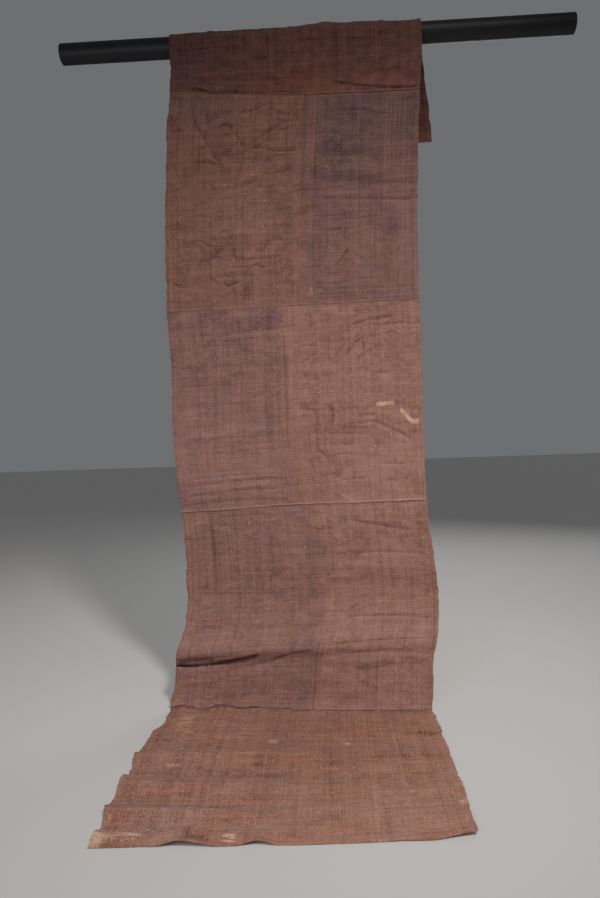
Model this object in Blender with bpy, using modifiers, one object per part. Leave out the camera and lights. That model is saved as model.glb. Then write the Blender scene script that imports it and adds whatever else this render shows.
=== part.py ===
"""Kuba cloth hung over a rod: five woven raffia panels sewn end to end.

The cloth starts behind the rod, passes over it, falls to the floor in front, swings forward in a slack
fold just above the floor and runs out over it. X runs along the rod, -Y is the front, +Z is up and the
floor is at z = 0. Tables and sizes are in millimetres, in a frame whose origin is on the floor under the
middle of the rod, and MM turns them to metres where a mesh is made.
"""

import math
from typing import NamedTuple

import bmesh
import bpy
import numpy as np

MM = 0.001

# The rod, level along X.
ROD_DIAMETER = 60.0
ROD_LENGTH = 1530.0
ROD_HEIGHT = 1970.0
ROD_SIDES = 48
ROD_EDGE_BEVEL = 1.5

# The sheet. Its underside is the surface that the tables describe, and its thickness goes outwards.
SHEET = 1.5
HEM_THICKNESS = 3.0
HEM_WIDTH = 10.0
HEM_SLOPE = 3.0
SEAM_GAP = 0.4
ROD_CLEARANCE = 2.5
CLOTH_WIDTH = 755.0

# How finely the sheet is meshed.
INNER_COLUMNS = 20
ROD_STEPS = 12


class Station(NamedTuple):
    """A line across the cloth.

    left and right are its two edges along X. out is its distance in front of the rod's axis and up its
    height above the floor, each at the left edge, the middle and the right edge. steps is the number of
    mesh rows from it to the next station.
    """

    name: str
    left: float
    right: float
    out: tuple
    up: tuple
    steps: int


class Panel(NamedTuple):
    """A woven panel, from one station to another, and its colour."""

    node: str
    first: str
    last: str
    colour: tuple


class Swell(NamedTuple):
    """A soft bulge (or hollow, where height is negative) in the hanging cloth, turned in degrees."""

    name: str
    across: float
    up: float
    half_length: float
    half_width: float
    turn: float
    height: float


class Ripple(NamedTuple):
    """A ridge that crosses the cloth on the floor, higher at one edge than in the middle."""

    name: str
    out: float
    heights: tuple
    half_width: float


class Arch(NamedTuple):
    """A place where the front hem stands off the floor."""

    name: str
    across: float
    half_width: float
    height: float
    reach: float


def level(value):
    """The same value at the left edge, the middle and the right edge."""
    return (value, value, value)


BACK_STATIONS = (
    Station("back hem", -399, 346, (-37, -38, -41), (1648, 1658, 1668), 4),
    Station("back drop", -411, 334, (-35, -37, -39), level(1810), 4),
)
# Over the rod: the two edges behind it and before it, and how far the sheet stands off it at three places.
BEHIND_ROD_EDGES = (-423, 322)
BEFORE_ROD_EDGES = (-431, 316)
ROD_LIFT = (0, 3, 4)
FRONT_STATIONS = (
    Station("below the rod", -427, 316, (33, 35, 36), level(1905), 2),
    Station("seam 1", -431, 307, (34, 34, 36), (1824, 1795, 1788), 3),
    Station("shoulder", -446, 301, (36, 34, 34), (1706, 1700, 1695), 3),
    Station("chest", -459, 291, (34, 35, 33), level(1500), 3),
    Station("above seam 2", -466, 286, (33, 35, 34), level(1300), 2),
    Station("seam 2", -467, 285, level(34), (1174, 1176, 1181), 3),
    Station("middle high", -461, 287, (35, 33, 35), level(1000), 3),
    Station("middle low", -463, 289, (34, 34, 33), level(800), 3),
    Station("seam 3", -447, 291, level(34), (567, 581, 584), 3),
    Station("lower high", -440, 305, (35, 34, 35), level(440), 3),
    Station("waist", -439, 314, (38, 37, 37), (296, 300, 305), 3),
    Station("swing", -446, 309, (64, 61, 59), (222, 228, 232), 3),
    Station("belly", -463, 293, (113, 108, 105), (158, 168, 170), 2),
    Station("tuck", -467, 286, (98, 101, 102), (129, 139, 142), 3),
    Station("shin", -470, 281, (107, 112, 117), (82, 86, 88), 2),
    Station("heel", -479, 277, (113, 121, 131), (34, 32, 31), 3),
    Station("toe", -484, 275, (123, 132, 144), (11, 9, 8), 3),
    Station("touch", -485, 273, (135, 143, 156), (3, 0, 0), 1),
    Station("seam 4", -485, 273, (142, 150, 163), (3, 0, 0), 3),
    Station("floor near the seam", -490, 273, (225, 235, 245), level(0), 6),
    Station("floor middle", -499, 276, (440, 440, 430), level(0), 9),
    Station("front hem", -494, 277, (775, 772, 736), level(0), 0),
)

PANELS = (
    Panel("panel_back_top", "back hem", "seam 1", (0.127, 0.061, 0.045, 1)),
    Panel("panel_upper", "seam 1", "seam 2", (0.181, 0.089, 0.072, 1)),
    Panel("panel_middle", "seam 2", "seam 3", (0.223, 0.114, 0.093, 1)),
    Panel("panel_lower", "seam 3", "seam 4", (0.219, 0.112, 0.091, 1)),
    Panel("panel_floor", "seam 4", "front hem", (0.266, 0.130, 0.098, 1)),
)

SWELLS = (
    Swell("sag above seam 1", 130, 1838, 190, 26, -2, -5),
    Swell("fullness between the shoulder creases", -245, 1735, 80, 55, 70, 5),
    Swell("fullness at the left shoulder", -395, 1730, 95, 45, 75, 3),
    Swell("hollow of the left crease", -322, 1700, 120, 20, 107, -4),
    Swell("hollow of the right crease", -135, 1682, 60, 16, 37, -4),
    Swell("slack above seam 3", -300, 640, 170, 30, -2, 4),
    Swell("hollow above the waist", 170, 330, 190, 25, -3, -5),
    Swell("fullness at the waist", -260, 262, 150, 40, 4, 6),
)

RIPPLES = (
    Ripple("first ripple", 300, (9, 3, 5), 55),
    Ripple("second ripple", 425, (15, 4, 3), 52),
    Ripple("third ripple", 555, (24, 4, 6), 52),
    Ripple("fourth ripple", 662, (20, 3, 5), 44),
    Ripple("fifth ripple", 742, (8, 1, 1), 30),
)

ARCHES = (
    Arch("wide arch", -312, 66, 15, 95),
    Arch("narrow arch", -160, 40, 8, 60),
    Arch("curled right corner", 277, 90, 10, 90),
)


def rod_stations():
    """The half turn over the rod, from behind it to before it, a station for each step of the arc."""
    stations = []
    for step in range(ROD_STEPS + 1):
        share = step / ROD_STEPS
        angle = math.pi * (1 - share)
        radii = [ROD_DIAMETER / 2 + ROD_CLEARANCE + lift for lift in ROD_LIFT]
        stations.append(
            Station(
                f"rod {step}",
                BEHIND_ROD_EDGES[0] + share * (BEFORE_ROD_EDGES[0] - BEHIND_ROD_EDGES[0]),
                BEHIND_ROD_EDGES[1] + share * (BEFORE_ROD_EDGES[1] - BEHIND_ROD_EDGES[1]),
                tuple(radius * math.cos(angle) for radius in radii),
                tuple(ROD_HEIGHT + radius * math.sin(angle) for radius in radii),
                2 if step == ROD_STEPS else 1,
            )
        )
    return stations


STATIONS = (*BACK_STATIONS, *rod_stations(), *FRONT_STATIONS)
NUMBERS = np.array([(s.left, s.right, *s.out, *s.up) for s in STATIONS], float)


def station_runs():
    """The distance of each station from the back hem, along the middle of the cloth."""
    middle = NUMBERS[:, [3, 6]]
    return np.concatenate([[0], np.cumsum(np.linalg.norm(np.diff(middle, axis=0), axis=1))])


def station_slopes(runs):
    """The slope of each number at each station, zero at a turn, so that no curve passes its stations."""
    slopes = np.diff(NUMBERS, axis=0) / np.diff(runs)[:, None]
    before, after = slopes[:-1], slopes[1:]
    same_way = before * after > 0
    means = np.divide(2 * before * after, before + after, out=np.zeros_like(before), where=same_way)
    return np.concatenate([slopes[:1], means, slopes[-1:]])


RUNS = station_runs()
SLOPES = station_slopes(RUNS)


def line_at(run):
    """The cloth's line across at a run: left, right, then out and up at three places, by a cubic."""
    i = min(max(int(np.searchsorted(RUNS, run)) - 1, 0), len(RUNS) - 2)
    length = RUNS[i + 1] - RUNS[i]
    t = (run - RUNS[i]) / length
    ahead = t * t * (3 - 2 * t)
    rise = length * t * (1 - t)
    return (
        NUMBERS[i] * (1 - ahead)
        + NUMBERS[i + 1] * ahead
        + SLOPES[i] * rise * (1 - t)
        - SLOPES[i + 1] * rise * t
    )


def across_three(values, share):
    """The value at a share of the width, on the parabola through left edge, middle and right edge."""
    left, middle, right = values
    return (
        left * (1 - share) * (1 - 2 * share)
        + middle * 4 * share * (1 - share)
        + right * share * (2 * share - 1)
    )


def bump(distance, half_width):
    """A smooth hump of height 1 that ends at its half width."""
    return math.cos(math.pi / 2 * min(abs(distance) / half_width, 1)) ** 2


def swell_height(x, up):
    """How far the swells of the hanging cloth push it out at a place."""
    height = 0.0
    for swell in SWELLS:
        turn = math.radians(swell.turn)
        dx, dz = x - swell.across, up - swell.up
        along = dx * math.cos(turn) + dz * math.sin(turn)
        aside = dz * math.cos(turn) - dx * math.sin(turn)
        height += swell.height * math.exp(
            -((along / swell.half_length) ** 2) - (aside / swell.half_width) ** 2
        )
    return height


def floor_height(x, out, share, hem_out):
    """How far the ripples and the arches of the hem lift the cloth off the floor at a place."""
    height = 0.0
    for ripple in RIPPLES:
        height += max(across_three(ripple.heights, share), 0) * bump(out - ripple.out, ripple.half_width)
    for arch in ARCHES:
        height += arch.height * bump(x - arch.across, arch.half_width) * bump(hem_out - out, arch.reach)
    return height


def cloth_point(share, run):
    """The underside of the cloth, in metres, at a share of its width and a run from the back hem."""
    numbers = line_at(run)
    x = numbers[0] + share * (numbers[1] - numbers[0])
    out = across_three(numbers[2:5], share)
    up = across_three(numbers[5:8], share)
    if run >= run_of("seam 4"):
        up += floor_height(x, out, share, across_three(NUMBERS[-1, 2:5], share))
    elif run >= run_of("below the rod"):
        out += swell_height(x, up)
    return (x * MM, -out * MM, max(up, 0) * MM)


def run_of(name):
    """The run of the named station."""
    return RUNS[index_of(name)]


def index_of(name):
    """The place of the named station in the list."""
    return [station.name for station in STATIONS].index(name)


def panel_rows(panel):
    """The runs of a panel's mesh rows, with the gap at its seams and two close rows at a hem."""
    first, last = index_of(panel.first), index_of(panel.last)
    rows = []
    for i in range(first, last):
        rows += list(np.linspace(RUNS[i], RUNS[i + 1], STATIONS[i].steps + 1)[:-1])
    rows.append(RUNS[last])
    hem_rows = (HEM_WIDTH, HEM_WIDTH + HEM_SLOPE)
    if first == 0:
        rows[1:1] = hem_rows
    else:
        rows[0] += SEAM_GAP / 2
    if last == len(STATIONS) - 1:
        rows[-1:-1] = [RUNS[-1] - row for row in reversed(hem_rows)]
    else:
        rows[-1] -= SEAM_GAP / 2
    return rows


def panel_columns():
    """The shares of the width at which a panel has a column, two close ones at each side hem."""
    hem = HEM_WIDTH / CLOTH_WIDTH
    inner = (HEM_WIDTH + HEM_SLOPE) / CLOTH_WIDTH
    return [0, hem, *np.linspace(inner, 1 - inner, INNER_COLUMNS + 1), 1 - hem, 1]


def is_hem(share, run):
    """Whether a place is in the turned hem: both long edges, the back end and the front end."""
    slack = HEM_SLOPE / 2
    side = min(share, 1 - share) * CLOTH_WIDTH
    end = min(run, RUNS[-1] - run)
    return side < HEM_WIDTH + slack or end < HEM_WIDTH + slack


def new_material(name, colour, roughness, metallic=0.0):
    """A Principled material with one colour."""
    material = bpy.data.materials.new(name)
    material.use_nodes = True
    shader = material.node_tree.nodes["Principled BSDF"]
    shader.inputs["Base Color"].default_value = colour
    shader.inputs["Roughness"].default_value = roughness
    shader.inputs["Metallic"].default_value = metallic
    return material


def make_panel(panel):
    """A panel: a grid laid on the cloth's surface, thickened outwards, and thicker at its hems."""
    rows, columns = panel_rows(panel), panel_columns()
    across, along = len(columns) - 1, len(rows) - 1
    grid = bmesh.new()
    bmesh.ops.create_grid(grid, x_segments=across, y_segments=along, size=0.5)
    hem = []
    for vertex in grid.verts:
        share = columns[round((vertex.co.x + 0.5) * across)]
        run = rows[round((0.5 - vertex.co.y) * along)]
        vertex.co = cloth_point(share, run)
        if is_hem(share, run):
            hem.append(vertex.index)
    mesh = bpy.data.meshes.new(panel.node)
    grid.to_mesh(mesh)
    grid.free()
    mesh.materials.append(new_material(f"{panel.node}_raffia", panel.colour, 0.85))
    mesh.shade_smooth()
    sheet = bpy.data.objects.new(panel.node, mesh)
    sheet.vertex_groups.new(name="hem").add(hem, 1.0, "REPLACE")
    thickness = sheet.modifiers.new("thickness", "SOLIDIFY")
    thickness.thickness = HEM_THICKNESS * MM
    thickness.offset = 1
    thickness.vertex_group = "hem"
    thickness.thickness_vertex_group = SHEET / HEM_THICKNESS
    return sheet


def make_rod():
    """The plain round rod, level along X, its end edges slightly broken."""
    bpy.ops.mesh.primitive_cylinder_add(
        vertices=ROD_SIDES,
        radius=ROD_DIAMETER / 2 * MM,
        depth=ROD_LENGTH * MM,
        location=(0, 0, ROD_HEIGHT * MM),
        rotation=(0, math.pi / 2, 0),
    )
    rod = bpy.context.object
    rod.name = "rod"
    rod.data.name = "rod"
    rod.data.materials.append(new_material("rod_dark_paint", (0.012, 0.012, 0.014, 1), 0.55))
    rod.data.shade_smooth()
    rod.data.set_sharp_from_angle(angle=math.radians(40))
    edges = rod.modifiers.new("broken_edges", "BEVEL")
    edges.width = ROD_EDGE_BEVEL * MM
    edges.segments = 1
    edges.limit_method = "ANGLE"
    edges.angle_limit = math.radians(60)
    return rod


def centre_on_floor(pieces):
    """Parents the pieces to an empty that puts the origin on the floor under the middle of their box."""
    bpy.context.view_layer.update()
    graph = bpy.context.evaluated_depsgraph_get()
    corners = []
    for piece in pieces:
        shown = piece.evaluated_get(graph)
        corners += [shown.matrix_world @ vertex.co for vertex in shown.data.vertices]
    corners = np.array(corners)
    middle = (corners.min(axis=0) + corners.max(axis=0)) / 2
    frame = bpy.data.objects.new("kuba_cloth_frame", None)
    bpy.context.scene.collection.objects.link(frame)
    frame.location = (-middle[0], -middle[1], -corners[:, 2].min())
    for piece in pieces:
        piece.parent = frame


def main():
    """Clears the scene and builds the rod and the five panels."""
    for old in list(bpy.data.objects):
        bpy.data.objects.remove(old, do_unlink=True)
    collection = bpy.data.collections.new("kuba_cloth_over_rod")
    bpy.context.scene.collection.children.link(collection)
    rod = make_rod()
    for holder in list(rod.users_collection):
        holder.objects.unlink(rod)
    pieces = [rod] + [make_panel(panel) for panel in PANELS]
    for piece in pieces:
        collection.objects.link(piece)
    centre_on_floor(pieces)


main()
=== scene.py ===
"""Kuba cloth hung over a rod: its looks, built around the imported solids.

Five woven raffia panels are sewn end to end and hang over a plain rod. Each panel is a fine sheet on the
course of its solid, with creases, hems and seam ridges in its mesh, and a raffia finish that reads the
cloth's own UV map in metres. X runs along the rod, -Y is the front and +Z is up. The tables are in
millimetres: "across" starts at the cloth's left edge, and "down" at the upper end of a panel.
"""

import logging
import math
from dataclasses import dataclass
from enum import Enum

import bpy
import numpy as np
from mathutils import Matrix, Vector

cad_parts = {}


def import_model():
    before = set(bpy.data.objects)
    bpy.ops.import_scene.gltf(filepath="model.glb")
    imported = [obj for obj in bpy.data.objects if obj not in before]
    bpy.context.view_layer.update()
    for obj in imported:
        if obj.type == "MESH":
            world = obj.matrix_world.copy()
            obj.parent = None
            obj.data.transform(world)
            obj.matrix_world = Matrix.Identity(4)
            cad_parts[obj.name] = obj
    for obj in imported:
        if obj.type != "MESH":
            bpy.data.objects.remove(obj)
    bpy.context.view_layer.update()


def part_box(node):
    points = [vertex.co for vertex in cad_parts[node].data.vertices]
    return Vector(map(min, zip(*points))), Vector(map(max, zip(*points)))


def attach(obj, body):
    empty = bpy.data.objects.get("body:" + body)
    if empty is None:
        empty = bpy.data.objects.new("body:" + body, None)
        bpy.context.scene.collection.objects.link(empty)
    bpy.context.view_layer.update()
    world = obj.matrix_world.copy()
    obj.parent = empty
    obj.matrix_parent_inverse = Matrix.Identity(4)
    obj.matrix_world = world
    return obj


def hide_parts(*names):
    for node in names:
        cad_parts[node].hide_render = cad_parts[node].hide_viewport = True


log = logging.getLogger("kuba_cloth")

MM = 0.001
IMAGE_HEIGHT = 898
UV_MAP = "cloth"


class Fold(Enum):
    """How the cloth is bent along a crease."""

    TROUGH = "a soft dip"
    RIDGE = "a soft ridge"
    LAPPED = "a ridge that leans over a narrow dip"
    # DRAWN lines are mostly thread; the shadow in the slack fold is painted shadow laid the same way.
    DRAWN = "no bend, only a line of darker or paler thread"


class Hold(Enum):
    """How a panel is held."""

    DRAPED = "draped"
    HUNG = "hung"
    LAID = "laid"


@dataclass(frozen=True)
class Station:
    """A line across the cloth.

    Attributes:
        name: What the cloth does there.
        left: Its left edge along X.
        right: Its right edge along X.
        out: Its distance in front of the rod's axis at the left edge, the middle and the right edge.
        up: Its height above the floor at the same three places.
    """

    name: str
    left: float
    right: float
    out: tuple[float, float, float]
    up: tuple[float, float, float]


@dataclass(frozen=True)
class Swell:
    """A soft bulge (or hollow, where height is negative) of the hanging cloth, turned in degrees."""

    name: str
    x: float
    up: float
    half_length: float
    half_width: float
    turn: float
    height: float


@dataclass(frozen=True)
class Ripple:
    """A ridge across the cloth on the floor, with its heights at the left edge, the middle and the right."""

    name: str
    out: float
    heights: tuple[float, float, float]
    half_width: float


@dataclass(frozen=True)
class Arch:
    """A place where the front hem stands off the floor."""

    name: str
    x: float
    half_width: float
    height: float
    reach: float


@dataclass(frozen=True)
class Zone:
    """A soft-edged area, from its middle, where the cloth was crushed."""

    name: str
    across: float
    run: float
    half_across: float
    half_run: float
    strength: float


@dataclass(frozen=True)
class Crease:
    """A crease, listed point by point.

    Attributes:
        name: Where it is.
        way: The points that it runs through, across and down.
        fold: How the cloth is bent along it.
        half_width: Half its width.
        height: How deep or high it is.
        shade: How dark its line is: painted shade in a fold, a thread's own tone on drawn lines and
            rectangles.
        Paler where negative: a painted highlight on a ridge, a paler thread on a drawn line.
    """

    name: str
    way: tuple[tuple[float, float], ...]
    fold: Fold
    half_width: float
    height: float
    shade: float


@dataclass(frozen=True)
class NestedRectangles:
    """Thin lines of thread drawn together in rectangles, one inside another.

    Attributes:
        name: Where they are.
        left: The outermost left side, across.
        top: Its upper side, down.
        right: Its right side.
        bottom: Its lower side.
        rings: How many rectangles there are.
        step: The distance between them.
        slope: How far they drop over their width.
        shade: How dark the lines are.
    """

    name: str
    left: float
    top: float
    right: float
    bottom: float
    rings: int
    step: float
    slope: float
    shade: float

    def creases(self) -> list[Crease]:
        """The sides of the rectangles, as drawn lines."""
        made = []
        for ring in range(self.rings):
            inset = ring * self.step * (1 + 0.15 * (-1) ** ring)
            left, right = self.left + inset, self.right - inset
            top, low = self.top + inset, self.bottom - 0.8 * inset
            corners = ((left, top), (right, top + self.slope), (right, low + self.slope), (left, low))
            for side in range(4):
                way = (corners[side], corners[(side + 1) % 4])
                shade = self.shade * (1 - 0.5 * ring / self.rings)
                made.append(Crease(f"{self.name} {ring} {side}", way, Fold.TROUGH, 6, 0.7, shade))
        return made


@dataclass(frozen=True)
class SeamLine:
    """How the line of a seam strays from its station: shifts down the cloth, and a fine waver."""

    station: str
    shifts: tuple[tuple[float, float], ...]
    waver: float


@dataclass(frozen=True)
class SeamEdge:
    """The turned end of a panel at a seam.

    Attributes:
        rise: How high it stands.
        width: How wide it is.
        groove: How dark its outermost line is, as painted shadow in the seam's gap.
        groove_width: How wide that line is.
        pale: How pale the top of the turned edge is: a painted highlight on the raised edge, and rubbed fibre.
    """

    rise: float = 1.2
    width: float = 2.6
    groove: float = 0.20
    groove_width: float = 1.4
    pale: float = 0.05


@dataclass(frozen=True)
class Patch:
    """A soft-edged area of another tone, from its middle.

    Attributes:
        name: What it is.
        across: Its middle across.
        down: Its middle down.
        half_across: Half its width.
        half_down: Half its height.
        soft: How wide its edge fades.
        mauve: How far the dye turns from brown to mauve.
        light: How much lighter it is, or darker where negative: the dye's own tone in some patches, painted
            light and shade in others.
        worn: How far it is worn to the pale fibre.
    """

    name: str
    across: float
    down: float
    half_across: float
    half_down: float
    soft: float
    mauve: float = 0.0
    light: float = 0.0
    worn: float = 0.0


def level(value: float) -> tuple[float, float, float]:
    """The same value at the left edge, the middle and the right edge."""
    return (value, value, value)


BACK_STATIONS = (
    Station("back hem", -399, 346, (-37, -38, -41), (1648, 1658, 1668)),
    Station("back drop", -411, 334, (-35, -37, -39), level(1810)),
)
FRONT_STATIONS = (
    Station("below the rod", -427, 316, (33, 35, 36), level(1905)),
    Station("seam 1", -431, 307, (34, 34, 36), (1824, 1795, 1788)),
    Station("shoulder", -446, 301, (36, 34, 34), (1706, 1700, 1695)),
    Station("chest", -459, 291, (34, 35, 33), level(1500)),
    Station("above seam 2", -466, 286, (33, 35, 34), level(1300)),
    Station("seam 2", -467, 285, level(34), (1174, 1176, 1181)),
    Station("middle high", -461, 287, (35, 33, 35), level(1000)),
    Station("middle low", -463, 289, (34, 34, 33), level(800)),
    Station("seam 3", -447, 291, level(34), (567, 581, 584)),
    Station("lower high", -440, 305, (35, 34, 35), level(440)),
    Station("waist", -439, 314, (38, 37, 37), (296, 300, 305)),
    Station("swing", -446, 309, (64, 61, 59), (222, 228, 232)),
    Station("belly", -463, 293, (113, 108, 105), (158, 168, 170)),
    Station("tuck", -467, 286, (98, 101, 102), (129, 139, 142)),
    Station("shin", -470, 281, (107, 112, 117), (82, 86, 88)),
    Station("heel", -479, 277, (113, 121, 131), (34, 32, 31)),
    Station("toe", -484, 275, (123, 132, 144), (11, 9, 8)),
    Station("touch", -485, 273, (135, 143, 156), (3, 0, 0)),
    Station("seam 4", -485, 273, (142, 150, 163), (3, 0, 0)),
    Station("floor near the seam", -490, 273, (225, 235, 245), level(0)),
    Station("floor middle", -499, 276, (440, 440, 430), level(0)),
    Station("front hem", -494, 277, (775, 772, 736), level(0)),
)

SWELLS = (
    Swell("sag above seam 1", 130, 1838, 190, 26, -2, -5),
    Swell("fullness between the shoulder creases", -245, 1735, 80, 55, 70, 5),
    Swell("fullness at the left shoulder", -395, 1730, 95, 45, 75, 3),
    Swell("hollow of the left crease", -322, 1700, 120, 20, 107, -4),
    Swell("hollow of the right crease", -135, 1682, 60, 16, 37, -4),
    Swell("slack above seam 3", -300, 640, 170, 30, -2, 4),
    Swell("hollow above the waist", 170, 330, 190, 25, -3, -5),
    Swell("fullness at the waist", -260, 262, 150, 40, 4, 6),
)

RIPPLES = (
    Ripple("first ripple", 300, (9, 3, 5), 55),
    Ripple("second ripple", 425, (15, 4, 3), 52),
    Ripple("third ripple", 555, (24, 4, 6), 52),
    Ripple("fourth ripple", 662, (20, 3, 5), 44),
    Ripple("fifth ripple", 742, (8, 1, 1), 30),
)

ARCHES = (
    Arch("wide arch", -306, 76, 15, 95),
    Arch("narrow arch", -159, 50, 10, 60),
    Arch("curled right corner", 277, 90, 10, 90),
)

CRUSHED = (
    Zone("upper left", 200, 900, 210, 290, 1.0),
    Zone("middle right", 570, 1500, 190, 300, 1.0),
    Zone("lower right", 600, 2080, 190, 270, 0.8),
    Zone("floor", 300, 2760, 330, 260, 0.5),
    Zone("over the rod", 380, 480, 340, 110, 0.5),
)

TOP_CREASES = (
    Crease("slack over the rod", ((452, 300), (478, 372), (486, 440)), Fold.RIDGE, 58, 4.5, 0.0),
    Crease("left pleat over the rod", ((118, 330), (124, 400), (130, 470)), Fold.RIDGE, 13, 2.2, 0.0),
    Crease("middle pleat over the rod", ((262, 330), (268, 400), (262, 450)), Fold.TROUGH, 12, 1.4, 0.08),
    Crease("right pleat over the rod", ((640, 330), (634, 400), (642, 470)), Fold.RIDGE, 12, 2.0, 0.0),
    Crease("hem line of the back", ((741, 6), (742, 150), (741, 320)), Fold.TROUGH, 8, 1.0, 0.30),
    Crease("pinch behind the rod", ((360, 300), (366, 372), (350, 430)), Fold.RIDGE, 10, 1.8, 0.0),
    Crease("front drag left", ((30, 452), (120, 446), (220, 455)), Fold.TROUGH, 7, 1.6, 0.14),
    Crease("front drag right", ((380, 447), (470, 440), (600, 452)), Fold.TROUGH, 7, 1.8, 0.16),
    Crease("second drag right", ((500, 478), (610, 470), (720, 480)), Fold.TROUGH, 7, 1.6, 0.12),
    Crease("small curl", ((240, 500), (262, 486), (292, 492), (300, 506)), Fold.TROUGH, 6, 1.8, 0.22),
    Crease("pucker at seam 1", ((58, 595), (75, 584), (103, 590), (117, 599)), Fold.LAPPED, 7, 3.0, 0.46),
    Crease(
        "drag at seam 1", ((130, 597), (213, 593), (279, 594), (349, 590), (384, 596)),
        Fold.TROUGH, 5, 1.8, 0.34,
    ),
    Crease(
        "lap above seam 1", ((483, 559), (529, 571), (619, 581), (673, 588), (753, 589)),
        Fold.LAPPED, 7, 2.6, 0.34,
    ),
    Crease("faint drag", ((139, 551), (242, 557), (374, 549)), Fold.TROUGH, 7, 1.6, 0.14),
    Crease("long drag", ((40, 538), (190, 540), (330, 530), (470, 538)), Fold.RIDGE, 12, 1.8, 0.0),
    Crease("upper drag", ((380, 520), (500, 508), (640, 515)), Fold.RIDGE, 11, 1.6, 0.0),
    Crease("short drag", ((470, 482), (560, 476)), Fold.RIDGE, 8, 1.2, -0.03),
    Crease("left drag", ((60, 500), (160, 508), (240, 502)), Fold.TROUGH, 9, 1.3, 0.05),
)

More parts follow.
